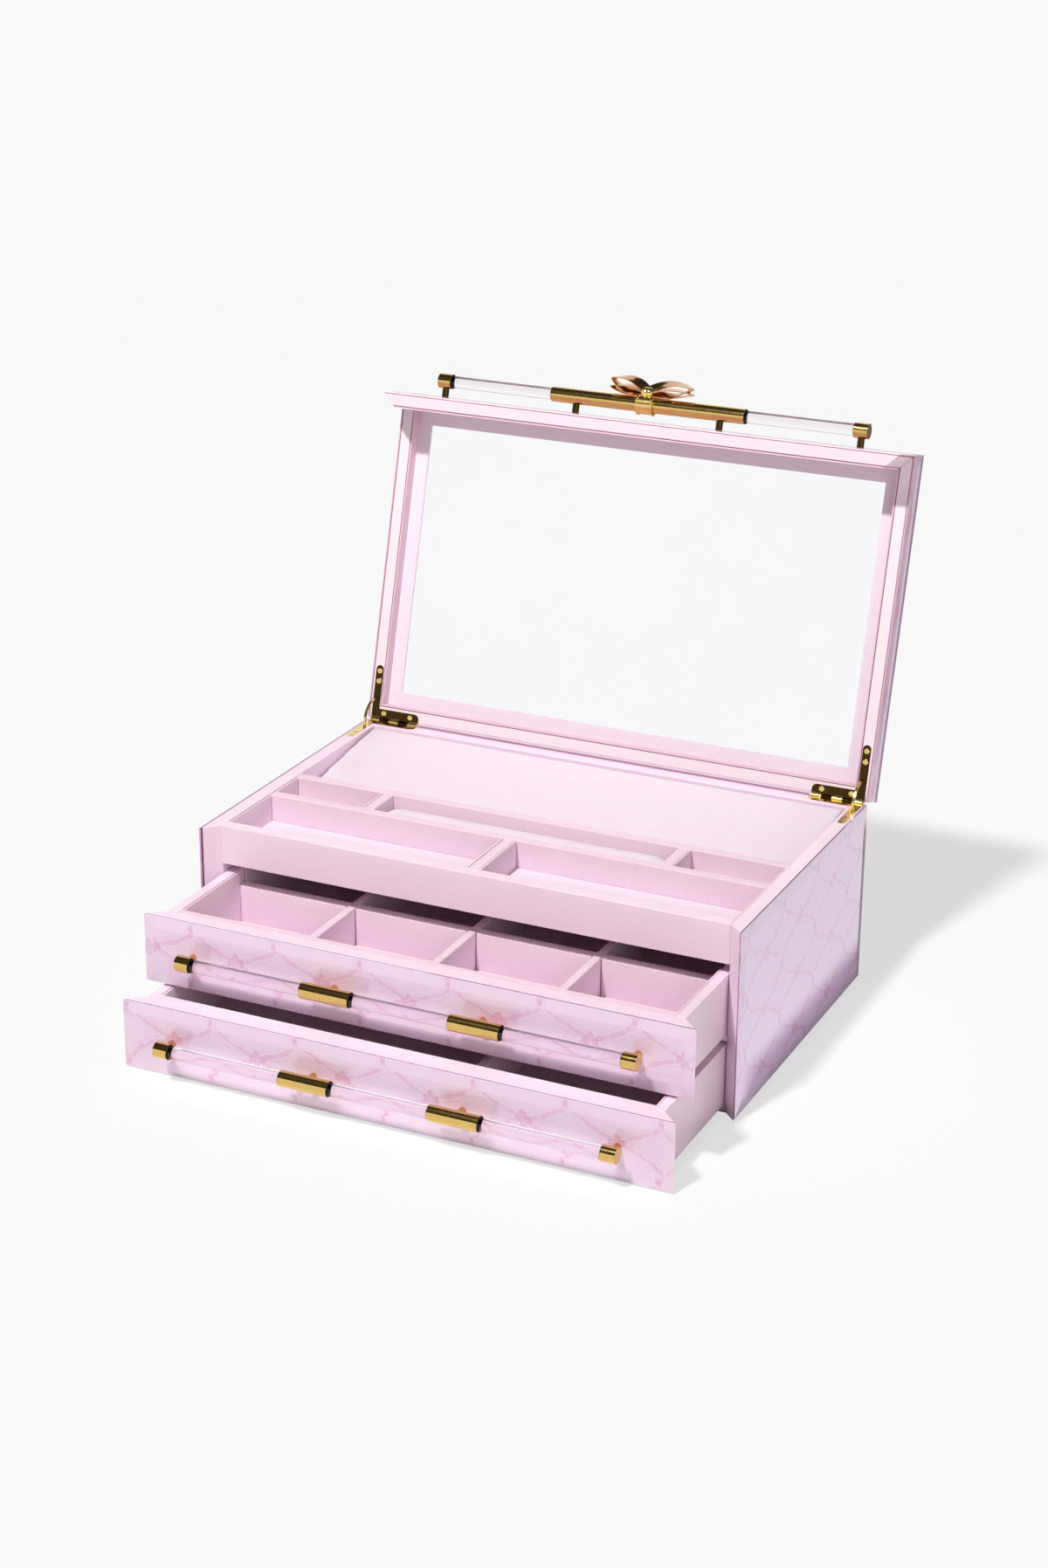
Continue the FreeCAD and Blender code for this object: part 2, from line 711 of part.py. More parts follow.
def drawer_pieces(name, z0, column_shares, split):
    """Nodes of one shut drawer."""
    foot, top = z0 + box_lift, z0 + DRAWER_H
    rear = case_rear - DRAWER_BACK_GAP
    near = front + case_wall
    outer = bay_half - DRAWER_SIDE_GAP
    inner = outer - DRAWER_SIDE_T
    floor = foot + DRAWER_BOTTOM_T
    divider_top = top - DRAWER_DIVIDER_DROP
    handle_z = z0 + DRAWER_H / 2
    rows = drawer_rows(split)
    bays = [bay for y0, y1 in rows for bay in drawer_bays(y0, y1, column_shares)]
    cross = []
    for y0, y1 in rows:
        for x0, x1, _, _ in drawer_bays(y0, y1, column_shares)[:-1]:
            cross.append(eased(box(x1, x1 + DRAWER_DIVIDER_T, y0, y1, floor, divider_top), SOFT_EDGE_R))
    sleeves = [-DRAWER_SLEEVE_PITCH / 2, DRAWER_SLEEVE_PITCH / 2]
    places = cap_places() + sleeves
    holes = stud_holes(places, handle_z)
    pieces = {
        "front": [cut_all(front_face_board(case_wall, z0, top), holes)],
        "front_glass": [cut_all(front_glass(z0, top), holes)],
        "sides": both(eased(box(inner, outer, near, rear, foot, top), EDGE_R)),
        "ends": [
            eased(box(-inner, inner, near, near + DRAWER_END_T, foot, top), EDGE_R),
            eased(box(-inner, inner, rear - DRAWER_END_T, rear, foot, top), EDGE_R),
        ],
        "bottom": [box(-inner, inner, near + DRAWER_END_T, rear - DRAWER_END_T, foot, floor)],
        "dividers": cross,
        "lining": lining(bays, floor),
        "handle_rod": [handle_rod(handle_z)],
        "handle_sleeves": end_caps(handle_z) + [sleeve(x, DRAWER_SLEEVE_L, handle_z) for x in sleeves],
        "handle_posts": handle_posts(places, handle_z, SLEEVE_R),
    }
    if split:
        y0 = rows[0][1]
        wall = box(-inner, inner, y0, y0 + DRAWER_DIVIDER_T, floor, divider_top)
        pieces["long_divider"] = [eased(wall, SOFT_EDGE_R)]
    return {name + "_" + key: solids for key, solids in pieces.items()}


# Lid


def lid_liner():
    """Lining sheets inside the lid's four walls."""
    inner = lid_half - LINER_T
    side = box(inner, lid_half, front + lid_wall + LINER_T, lid_rear - LINER_T, lid_rim, frame_z)
    rear = box(-lid_half, lid_half, lid_rear - LINER_T, lid_rear, lid_rim, frame_z)
    return [front_board(lid_wall, lid_wall + LINER_T, lid_foot, frame_z), rear] + both(side)


def mirror_plate(grow):
    """Mirror behind the frame's lip, or the rebate for it when grown."""
    reach = lid_half - FRAME_BORDER + MIRROR_LAP + grow
    edge = FRAME_BORDER - MIRROR_LAP - grow
    return box(-reach, reach, front + lid_wall + edge, lid_rear - edge, frame_z + FRAME_LIP, board_z)


def mirror_frame():
    """Frame round the mirror with a thin lip over its edge."""
    reach = lid_half - FRAME_BORDER
    y0, y1 = front + lid_wall, lid_rear
    whole = box(-lid_half, lid_half, y0, y1, frame_z, board_z)
    sight = box(-reach, reach, y0 + FRAME_BORDER, y1 - FRAME_BORDER, frame_z - OVERRUN, board_z + OVERRUN)
    return cut_all(whole, [sight, mirror_plate(MIRROR_FIT)])


def lid_pieces():
    """Nodes of the shut lid."""
    cutters = both_cutters(lid_cutters)
    side = cut_all(right_board(lid_wall, 0, lid_rim, lid_wood_top), lid_cutters)
    rear = eased(box(-lid_half, lid_half, lid_rear, back - GLASS_T, lid_rim, lid_wood_top), EDGE_R)
    places = cap_places() + [-LID_POST_PITCH / 2, LID_POST_PITCH / 2]
    holes = stud_holes(places, lid_handle_z)
    leaf = hinge_leaf(lid_rim, 1, lid_rim, 1)
    return {
        "lid_front": [cut_all(front_face_board(lid_wall, lid_foot, lid_wood_top), holes)],
        "lid_sides": both(side),
        "lid_back_rail": [cut_all(rear, cutters)],
        "lid_top_board": [box(-lid_half, lid_half, front + lid_wall, lid_rear, board_z, lid_wood_top)],
        "lid_top_glass": [top_glass()],
        "lid_front_glass": [cut_all(front_glass(lid_foot, lid_wood_top), holes)],
        "lid_side_glass": both(right_glass(lid_rim, lid_wood_top, 0)),
        "lid_back_glass": [cut_all(back_glass(lid_rim, lid_wood_top), cutters)],
        "lid_liner": lid_liner(),
        "mirror_frame": [mirror_frame()],
        "mirror": [mirror_plate(0)],
        "lid_hinge_leaves": both(leaf),
        "lid_hinge_screws": [s for screw in screws(lid_rim, 1, 0) for s in both(screw)],
        "lid_handle_rod": [handle_rod(lid_handle_z)],
        "lid_handle_sleeves": end_caps(lid_handle_z) + [sleeve(0, LID_SLEEVE_L, lid_handle_z)],
        "lid_handle_posts": handle_posts(places, lid_handle_z, SLEEVE_R),
        "handle_bow": [ribbon_bow()],
    }


# Assembly


def opened(solids):
    """Lid pieces turned back about the hinge pins."""
    return [solid.copy().rotate(V(0, back, axis_z), V(1, 0, 0), -LID_OPEN) for solid in solids]


def drawn(solids, out):
    """Drawer pieces slid out to where the drawer rests."""
    moved = [solid.copy() for solid in solids]
    for solid in moved:
        solid.translate(V(0, -out, 0))
    return moved


def all_pieces():
    """Every node of the box as it stands open."""
    right_stay = stay()
    nodes = case_pieces()
    for name, solids in drawer_pieces("upper_drawer", upper_z, upper_column_shares, True).items():
        nodes[name] = drawn(solids, UPPER_OUT)
    for name, solids in drawer_pieces("lower_drawer", lower_z, lower_column_shares, False).items():
        nodes[name] = drawn(solids, LOWER_OUT)
    for name, solids in lid_pieces().items():
        nodes[name] = opened(solids)
    nodes["hinge_stay_right"] = [right_stay]
    nodes["hinge_stay_left"] = [mirrored(right_stay)]
    return nodes


def save(nodes):
    """Write one file per node."""
    os.makedirs("parts", exist_ok=True)
    for name, solids in nodes.items():
        shape = solids[0] if len(solids) == 1 else Part.makeCompound(solids)
        shape.exportStep("parts/" + name + ".step")


save(all_pieces())
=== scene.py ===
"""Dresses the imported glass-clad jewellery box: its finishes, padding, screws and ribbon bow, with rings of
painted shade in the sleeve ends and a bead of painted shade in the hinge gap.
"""

import json
import logging
import math
from collections.abc import Callable
from dataclasses import dataclass, replace
from enum import Enum
from functools import cache

import bmesh
import bpy
from mathutils import Matrix, Vector

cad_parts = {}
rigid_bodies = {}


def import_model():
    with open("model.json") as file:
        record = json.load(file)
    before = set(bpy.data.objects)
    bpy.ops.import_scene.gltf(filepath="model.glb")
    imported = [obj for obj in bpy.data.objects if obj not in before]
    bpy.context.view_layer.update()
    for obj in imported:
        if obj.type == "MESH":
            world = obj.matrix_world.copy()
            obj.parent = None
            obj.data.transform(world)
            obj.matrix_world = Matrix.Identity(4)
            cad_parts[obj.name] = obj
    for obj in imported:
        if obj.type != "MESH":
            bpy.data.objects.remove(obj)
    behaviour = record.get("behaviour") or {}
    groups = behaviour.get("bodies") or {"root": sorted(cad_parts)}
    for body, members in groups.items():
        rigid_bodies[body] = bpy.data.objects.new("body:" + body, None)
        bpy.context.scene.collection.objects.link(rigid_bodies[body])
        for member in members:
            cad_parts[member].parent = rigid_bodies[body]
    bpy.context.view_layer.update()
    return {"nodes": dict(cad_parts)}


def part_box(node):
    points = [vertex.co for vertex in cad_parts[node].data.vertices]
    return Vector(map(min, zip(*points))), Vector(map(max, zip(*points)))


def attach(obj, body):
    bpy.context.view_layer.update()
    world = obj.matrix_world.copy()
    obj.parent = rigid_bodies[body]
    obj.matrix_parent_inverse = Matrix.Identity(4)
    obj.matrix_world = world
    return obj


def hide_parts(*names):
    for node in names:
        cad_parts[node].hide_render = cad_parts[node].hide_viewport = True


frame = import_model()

log = logging.getLogger("jewellery_box")

Colour = tuple[float, float, float]
Triple = tuple[float, float, float]
Pair = tuple[float, float]
Socket = bpy.types.NodeSocket
Material = bpy.types.Material
Piece = bpy.types.Object
BMesh = bmesh.types.BMesh
Input = Socket | float | Colour
Inputs = dict[int | str, Input]
Place = Callable[[float, float, float], Vector]

MM = 0.001
PER_METRE = 1000.0
WELD = 1e-6
SHARP = 35.0
HALF_W = 190.0
HALF_D = 117.0
LID_PIVOT = Vector((0.0, HALF_D, 128.75)) * MM
LID_OPEN = math.radians(105.0)


class Facing(Enum):
    """Which side of the box a pane covers."""

    FRONT = "front"
    SIDE = "side"
    BACK = "back"
    TOP = "top"


class Walls(Enum):
    """Which walls of a bay carry a facing."""

    SIDES = "both sides"
    OUTER_AND_REAR = "outer sides and rear"


class Carrier(Enum):
    """Whether a pane stands on the case and drawers or turns with the lid."""

    BOX = "box"
    LID = "lid"


def lid_turn() -> Matrix:
    """Returns the matrix that carries the shut lid to its open place."""
    turn = Matrix.Rotation(-LID_OPEN, 4, "X")
    return Matrix.Translation(LID_PIVOT) @ turn @ Matrix.Translation(-LID_PIVOT)


class Tree:
    """A node tree, with one call that adds, sets and feeds a node."""

    def __init__(self, tree: bpy.types.NodeTree) -> None:
        """Takes over a tree and empties it."""
        self.tree = tree
        self.tree.nodes.clear()

    def node(self, kind: str, inputs: Inputs | None = None, **settings: object) -> bpy.types.Node:
        """Adds a node.

        Args:
            kind: Blender's type name of the node.
            inputs: links or plain values by socket name or number.
            settings: properties to set on it.

        Returns:
            The new node.
        """
        made = self.tree.nodes.new(kind)
        for key, value in settings.items():
            setattr(made, key, value)
        for key, value in (inputs or {}).items():
            self.feed(made.inputs[key], value)
        return made

    def feed(self, socket: Socket, value: Input) -> None:
        """Links a socket to another one, or sets its plain value.

        Args:
            socket: the socket to feed.
            value: what feeds it.
        """
        if isinstance(value, Socket):
            self.tree.links.new(value, socket)
        elif socket.type == "RGBA":
            socket.default_value = (*value, 1.0)
        else:
            socket.default_value = value

    def first(self, kind: str, inputs: Inputs, **settings: object) -> Socket:
        """Adds a node and returns its first result."""
        return self.node(kind, inputs, **settings).outputs[0]

    def maths(self, op: str, *values: Input) -> Socket:
        """Adds a Math node and returns its result."""
        return self.first("ShaderNodeMath", dict(enumerate(values)), operation=op)


class Wiring(Tree):
    """Node tree of one material, with short calls for what the finishes use."""

    def __init__(self, name: str) -> None:
        """Starts an empty material.

        Args:
            name: the material's name.
        """
        self.material = bpy.data.materials.new(name)
        self.material.use_nodes = True
        super().__init__(self.material.node_tree)
        self.output = self.node("ShaderNodeOutputMaterial").inputs["Surface"]

    def add(self, a: Input, b: Input) -> Socket:
        """Returns a + b."""
        return self.maths("ADD", a, b)

    def sub(self, a: Input, b: Input) -> Socket:
        """Returns a - b."""
        return self.maths("SUBTRACT", a, b)

    def mul(self, a: Input, b: Input) -> Socket:
        """Returns a * b."""
        return self.maths("MULTIPLY", a, b)

    def length(self, a: Input, b: Input) -> Socket:
        """Returns the length of a vector with parts a and b."""
        return self.maths("SQRT", self.add(self.mul(a, a), self.mul(b, b)))

    def step(self, value: Input, low: Input, high: Input, start: float = 0.0, end: float = 1.0) -> Socket:
        """Returns start where value is under low, end where it is over high, and a smooth step between."""
        inputs = dict(enumerate((value, low, high, start, end)))
        return self.first("ShaderNodeMapRange", inputs, interpolation_type="SMOOTHSTEP", clamp=True)

    def mix(self, share: Input, a: Input, b: Input) -> Socket:
        """Returns colour a turned towards colour b by share."""
        return self.node("ShaderNodeMix", {0: share, 6: a, 7: b}, data_type="RGBA").outputs[2]

    def place(self, turn: Triple = (0, 0, 0), shift: Triple = (0, 0, 0), scale: Triple = (1, 1, 1)) -> Socket:
        """Returns Object coordinates, stretched, turned in radians and shifted in metres."""
        inputs = {"Vector": self.node("ShaderNodeTexCoord").outputs["Object"], "Location": shift}
        return self.first("ShaderNodeMapping", {**inputs, "Rotation": turn, "Scale": scale})

    def on_shut_lid(self) -> Socket:
        """Returns Object coordinates carried back to the shut lid."""
        back = lid_turn().inverted()
        return self.place(turn=tuple(back.to_euler()), shift=tuple(back.to_translation()))

    def split(self, vector: Socket) -> tuple[Socket, ...]:
        """Returns the three parts of a vector."""
        return tuple(self.node("ShaderNodeSeparateXYZ", {0: vector}).outputs)

    def millimetres(self, at: Socket) -> tuple[Socket, ...]:
        """Returns x, y and z of coordinates, in millimetres."""
        return tuple(self.mul(part, PER_METRE) for part in self.split(at))

    def noise(self, coords: Socket, scale: float, detail: float = 2.0, rough: float = 0.5) -> Socket:
        """Returns noise from 0 to 1 at that scale."""
        inputs = {"Vector": coords, "Scale": scale, "Detail": detail, "Roughness": rough}
        return self.first("ShaderNodeTexNoise", inputs)

    def moved(self, coords: Socket, amount: float) -> Socket:
        """Returns coordinates moved along all axes, for a second noise that differs from the first."""
        return self.first("ShaderNodeVectorMath", {0: coords, 1: (amount,) * 3}, operation="ADD")

    def bump(self, height: Socket, strength: float, distance: float) -> Socket:
        """Returns a normal bumped by height, at most distance metres deep."""
        inputs = {"Strength": strength, "Distance": distance, "Height": height}
        return self.first("ShaderNodeBump", inputs)

    def surface(self, **values: Input) -> Material:
        """Ends the tree in a Principled shader.

        Args:
            values: the shader's inputs by name, with _ for a space.

        Returns:
            The finished material.
        """
        inputs = {key.replace("_", " "): value for key, value in values.items()}
        self.feed(self.output, self.first("ShaderNodeBsdfPrincipled", inputs))
        return self.material


@dataclass(frozen=True)
class Finish:
    """A finish: its name, its main colour and the shade that clouds it."""

    name: str
    colour: Colour
    shade: Colour

    def material(self) -> Material:
        """Returns the finish's procedural material."""
        raise NotImplementedError

    @cache
    def made(self) -> Material:
        """Returns the finish's material, built on its first use."""
        return self.material()


@dataclass(frozen=True)
class Lacquer(Finish):
    """Satin pink lacquer over board, with a faint orange-peel surface."""

    gloss: float = 0.36
    cloud: float = 22.0
    wear: float = 90.0
    peel: float = 420.0
    peel_depth: float = 0.12 * MM

    def material(self) -> Material:
        """Builds the lacquer's surface.

        Returns:
            The material.
        """
        w = Wiring(self.name)
        at = w.place()
        worn = w.noise(at, self.wear, 4.0)
        return w.surface(
            Base_Color=w.mix(w.noise(at, self.cloud, 3.0), self.colour, self.shade),
            Roughness=w.step(worn, 0.3, 0.7, self.gloss - 0.04, self.gloss + 0.06),
            Normal=w.bump(w.noise(at, self.peel), 0.12, self.peel_depth),
            IOR=1.48,
            Coat_Weight=0.15,
            Coat_Roughness=0.22,
        )


@dataclass(frozen=True)
class Suede(Finish):
    """Short-napped pink suede with a fine grain and a pale sheen."""

    grain: float = 1500.0
    fleck_share: float = 0.45
    brushed: float = 75.0
    brush_way: Triple = (0.35, 1.0, 1.0)
    nap_depth: float = 0.22 * MM
    sheen: float = 0.22
    # Painted shade: a jointed lining is darkened with the joint colour along the line where it meets the
    # boards, standing in for the shade in that gap.
    joint_shaded: bool = False
    joint: Colour = (0.30, 0.10, 0.16)
    joint_shade_w: Pair = (0.4, 0.65)
    half_w: float = 180.2
    half_d: float = 107.2

    def material(self) -> Material:
        """Builds the suede's surface.

        Returns:
            The material.
        """
        w = Wiring(self.name)
        at = w.place()
        nap = w.noise(at, self.grain, 4.0, 0.65)
        brushed = w.noise(w.place(scale=self.brush_way), self.brushed, 3.0, 0.6)
        fleck = w.step(w.noise(at, self.grain * self.fleck_share), 0.35, 0.75)
        tone = w.add(w.mul(brushed, 0.45), w.mul(fleck, 0.4))
        colour = w.mix(tone, self.colour, self.shade)
        # Painted shade: a dark line along the joint gap with the boards.
        if self.joint_shaded:
            colour = w.mix(self.painted_joint_shade(w), colour, self.joint)
        return w.surface(
            Base_Color=colour,
            Roughness=w.step(nap, 0.2, 0.8, 0.82, 0.96),
            Normal=w.bump(nap, 0.35, self.nap_depth),
            Sheen_Weight=self.sheen,
            Sheen_Roughness=0.45,
            Sheen_Tint=(1.0, 0.86, 0.93),
            Specular_IOR_Level=0.25,
        )

    def painted_joint_shade(self, w: Wiring) -> Socket:
        """Finds where the lid's lining meets the boards round it, for a dark line of painted shade in the
        joint gap.

        Args:
            w: the material's wiring.

        Returns:
            1 along the joint and 0 off it.
        """
        across, along = (w.maths("ABSOLUTE", part) for part in w.millimetres(w.on_shut_lid())[:2])
        inside = w.maths("MINIMUM", w.sub(self.half_w, across), w.sub(self.half_d, along))
        return w.step(inside, *self.joint_shade_w, 1.0, 0.0)


@dataclass(frozen=True)
class PrintedGlass(Finish):
    """Bevelled glass printed behind with an ogee lattice of brushed lines and small four-petal blossoms, with
    a painted highlight on the bevel and painted shade along the glue line at the back of each edge.

    Sizes are in millimetres. A pair gives the depths under the face between which a zone starts or ends.
    """

    facing: Facing
    face: float
    carrier: Carrier
    shift_u: float
    shift_v: float
    stroke: Colour = (0.76, 0.37, 0.58)
    petal: Colour = (0.80, 0.45, 0.63)
    petal_rim: Colour = (0.68, 0.28, 0.49)
    bevel_highlight: Colour = (0.90, 0.78, 0.92)
    edge: Colour = (0.62, 0.42, 0.66)
    glue_line_shade: Colour = (0.16, 0.022, 0.07)
    bevel_start: Pair = (0.02, 0.09)
    bevel_end: Pair = (0.70, 0.76)
    edge_start: Pair = (0.72, 0.80)
    glue_line_start: Pair = (1.45, 1.60)
    bevel_bend: Pair = (3.4, 2.2)
    sway: float = 7.0
    sway_scale: float = 0.035
    sway_apart: float = 91.0
    cell_w: float = 61.0
    cell_h: float = 78.0
    blossom_r: float = 6.2
    eye_r: Pair = (0.9, 1.3)
    bud_r: Pair = (1.5, 2.1)
    stroke_half: Pair = (0.4, 1.7)
    beside: float = 3.4
    gloss: float = 0.045
    coat: float = 1.0

    def axes(self, w: Wiring) -> tuple[Socket, Socket, Socket]:
        """Measures the pane in millimetres.

        Args:
            w: the material's wiring.

        Returns:
            Place across, place up, and depth under the outer face.
        """
        x, y, z = w.millimetres(w.on_shut_lid() if self.carrier is Carrier.LID else w.place())
        if self.facing is Facing.FRONT:
            across, up, depth = x, z, w.sub(y, self.face)
        elif self.facing is Facing.BACK:
            across, up, depth = x, z, w.sub(self.face, y)
        elif self.facing is Facing.SIDE:
            across, up, depth = y, z, w.sub(self.face, w.maths("ABSOLUTE", x))
        else:
            across, up, depth = x, y, w.sub(self.face, z)
        return w.add(across, self.shift_u), w.add(up, self.shift_v), depth

    def material(self) -> Material:
        """Builds the pane's surface.

        Returns:
            The material.
        """
        w = Wiring(self.name)
        across, up, depth = self.axes(w)
        bevel = w.mul(w.step(depth, *self.bevel_start), w.step(depth, *self.bevel_end, 1.0, 0.0))
        flat = w.first("ShaderNodeCombineXYZ", {0: across, 1: up})
        apart = w.moved(flat, self.sway_apart)
        sways = (w.mul(w.sub(w.noise(at, self.sway_scale), 0.5), self.sway) for at in (flat, apart))
        bends = (w.mul(bevel, bend) for bend in self.bevel_bend)
        u, v = (w.add(w.add(*pair), bend) for *pair, bend in zip((across, up), sways, bends))
        brush = w.noise(flat, 0.16, 4.0, 0.6)
        wash = w.noise(flat, 0.045, 3.0, 0.6)
        lines = w.mul(self.lattice(w, u, v, brush), w.step(brush, 0.25, 0.75, 0.2, 0.62))
        bloom, tone = self.blossoms(w, u, v)
        blooms = w.mul(bloom, w.step(brush, 0.2, 0.8, 0.35, 0.68))
        colour = w.mix(wash, self.colour, self.shade)
        colour = w.mix(lines, colour, self.stroke)
        colour = w.mix(blooms, colour, w.mix(tone, self.petal, self.petal_rim))
        # Painted highlight: the bevel is lightened towards a pale colour, as if it caught the light.
        colour = w.mix(w.mul(bevel, 0.22), colour, self.bevel_highlight)
        colour = w.mix(w.mul(w.step(depth, *self.edge_start), 0.85), colour, self.edge)
        # The back of each pane's edge, where it is glued to the board, takes a darker colour: the glue line,
        # with painted shade of the gap.
        colour = w.mix(w.step(depth, *self.glue_line_start), colour, self.glue_line_shade)
        smear = w.noise(flat, 0.02, 5.0, 0.7)
        return w.surface(
            Base_Color=colour,
            Roughness=w.step(smear, 0.3, 0.75, self.gloss, self.gloss + 0.035),
            IOR=1.52,
            Coat_Weight=self.coat,
            Coat_Roughness=0.02,
            Coat_IOR=1.5,
        )

    def lattice(self, w: Wiring, u: Socket, v: Socket, brush: Socket) -> Socket:
        """Draws two families of waving lines that meet in ogees.

        Args:
            w: the material's wiring.
            u: place across.
            v: place up.
            brush: noise that swells the strokes.

        Returns:
            How much stroke colour each place holds.
        """
        swing = self.cell_w / 2
        pace = 2 * math.pi / self.cell_h
        phase = w.mul(v, pace)
        wave = w.mul(w.maths("SINE", phase), swing)
        slope = w.mul(w.maths("COSINE", phase), swing * pace)
        right = w.maths("PINGPONG", w.add(u, wave), swing)
        left = w.maths("PINGPONG", w.sub(u, wave), swing)
        gap = w.maths("DIVIDE", w.maths("MINIMUM", right, left), w.length(slope, 1.0))
        half = w.step(brush, 0.25, 0.75, *self.stroke_half)
        main = w.step(w.sub(gap, half), 0.0, 0.7, 1.0, 0.0)
        beside = w.step(w.maths("ABSOLUTE", w.sub(gap, self.beside)), 0.15, 0.55, 0.55, 0.0)
        return w.maths("MAXIMUM", main, beside)

    def blossoms(self, w: Wiring, u: Socket, v: Socket) -> tuple[Socket, Socket]:
        """Sets a blossom where the lines cross and a bud where they touch.

        Args:
            w: the material's wiring.
            u: place across.
            v: place up.

        Returns:
            Where the petals are, and how near their rims.
        """
        rows = self.cell_h / 2

        def nearest(value: Socket, pitch: float) -> Socket:
            """Returns the distance to the nearest multiple of pitch, with its sign."""
            turns = w.maths("ROUND", w.maths("DIVIDE", value, pitch))
            return w.sub(value, w.mul(turns, pitch))

        a, b = nearest(u, self.cell_w), nearest(v, rows)
        reach = w.length(a, b)
        lobes = w.maths("ABSOLUTE", w.maths("COSINE", w.mul(w.maths("ARCTAN2", b, a), 2.0)))
        outline = w.mul(w.add(w.mul(w.maths("POWER", lobes, 0.8), 0.62), 0.38), self.blossom_r)
        share = w.maths("DIVIDE", reach, outline)
        petals = w.mul(w.step(share, 0.86, 1.02, 1.0, 0.0), w.step(reach, *self.eye_r))
        c, d = nearest(w.add(u, self.cell_w / 2), self.cell_w), nearest(w.add(v, rows / 2), rows)
        buds = w.step(w.length(c, d), *self.bud_r, 1.0, 0.0)
        return w.maths("MAXIMUM", petals, buds), w.step(share, 0.35, 0.95)


@dataclass(frozen=True)
class Metal(Finish):
    """Polished metal with fine turning marks, and a cross-hatched face on its ends where asked."""

    gloss: float = 0.18
    hatched: bool = False
    marks: Triple = (1.0, 14.0, 14.0)
    mark_scale: float = 260.0
    cloud: float = 140.0
    groove_pace: float = 7000.0
    depth: float = 0.2 * MM

    def material(self) -> Material:
        """Builds the metal's surface.

        Returns:
            The material.
        """
        w = Wiring(self.name)
        at = w.place()
        marks = w.noise(w.place(scale=self.marks), self.mark_scale, 3.0, 0.6)
        height = w.mul(marks, 0.12)
        if self.hatched:
            height = w.add(height, self.hatch(w, at))
        return w.surface(
            Base_Color=w.mix(w.noise(at, self.cloud, 3.0), self.colour, self.shade),
            Metallic=1.0,
            Roughness=w.step(marks, 0.25, 0.75, self.gloss - 0.03, self.gloss + 0.05),
            Normal=w.bump(height, 0.1 if self.hatched else 0.05, self.depth),
        )

    def hatch(self, w: Wiring, at: Socket) -> Socket:
        """Cuts crossed grooves into the faces that look along the rod.

        Args:
            w: the material's wiring.
            at: the coordinates.

        Returns:
            Height of the grooves.
        """
        _, y, z = w.split(at)
        along = w.split(w.node("ShaderNodeNewGeometry").outputs["Normal"])[0]
        ends = w.step(w.maths("ABSOLUTE", along), 0.9, 0.97)
        one, two = (w.maths("SINE", w.mul(way, self.groove_pace)) for way in (w.add(y, z), w.sub(y, z)))
        return w.mul(w.mul(w.add(one, two), ends), 0.9)


@dataclass(frozen=True)
class Acrylic(Finish):
    """Clear rod stock with faint haze and drawing marks."""

    haze: float = 60.0
    marks: float = 900.0
    mark_way: Triple = (0.05, 1.0, 1.0)
    mark_depth: float = 0.05 * MM

    def material(self) -> Material:
        """Builds the rod's surface.

        Returns:
            The material.
        """
        w = Wiring(self.name)
        drawn = w.noise(w.place(scale=self.mark_way), self.marks, 3.0)
        haze = w.noise(w.place(), self.haze, 3.0)
        return w.surface(
            Base_Color=w.mix(haze, self.colour, self.shade),
            Roughness=w.step(haze, 0.3, 0.8, 0.015, 0.05),
            Normal=w.bump(drawn, 0.04, self.mark_depth),
            Transmission_Weight=1.0,
            IOR=1.49,
        )


@dataclass(frozen=True)
class Silvering(Finish):
    """Silvered mirror glass with a very slight haze."""

    haze: float = 14.0

    def material(self) -> Material:
        """Builds the mirror's surface.

        Returns:
            The material.
        """
        w = Wiring(self.name)
        haze = w.noise(w.place(), self.haze, 4.0, 0.6)
        return w.surface(
            Base_Color=w.mix(haze, self.colour, self.shade),
            Metallic=1.0,
            Roughness=w.step(haze, 0.3, 0.8, 0.008, 0.03),
        )


@dataclass(frozen=True)
class Matte(Finish):
    """Dull fibre: the felt under the base; the same dull surface makes the bead in the hinge gap and the dark
    rings in the sleeves' open ends, both painted shade.
    """

    grain: float
    depth: float

    def material(self) -> Material:
        """Builds the dull surface.

        Returns:
            The material.
        """
        w = Wiring(self.name)
        fibre = w.noise(w.place(), self.grain, 5.0, 0.7)
        return w.surface(
            Base_Color=w.mix(fibre, self.colour, self.shade),
            Roughness=w.step(fibre, 0.2, 0.8, 0.7, 0.95),
            Normal=w.bump(fibre, 0.5, self.depth),
        )


LACQUER = Lacquer("pink_lacquer", (0.91, 0.745, 0.85), (0.89, 0.71, 0.82))
# Painted shade: the lid's boards and its front rim take darker, paler copies of the pink lacquer, holding
# down the stronger light that falls on them.
LID_SHADED_LACQUER = Lacquer("lid_shaded_lacquer", (0.85, 0.755, 0.805), (0.83, 0.72, 0.77))
RIM_SHADED_LACQUER = Lacquer("rim_shaded_lacquer", (0.79, 0.67, 0.74), (0.77, 0.64, 0.71))
SUEDE = Suede("pink_suede", (0.86, 0.70, 0.795), (0.80, 0.615, 0.715))
# Painted highlight: the tray lining, the mirror frame and the pads take paler copies of the pink suede,
# whitened for the strong light on them.
LIT_PALE_SUEDE = Suede("lit_pale_suede", (0.835, 0.75, 0.82), (0.78, 0.66, 0.74))
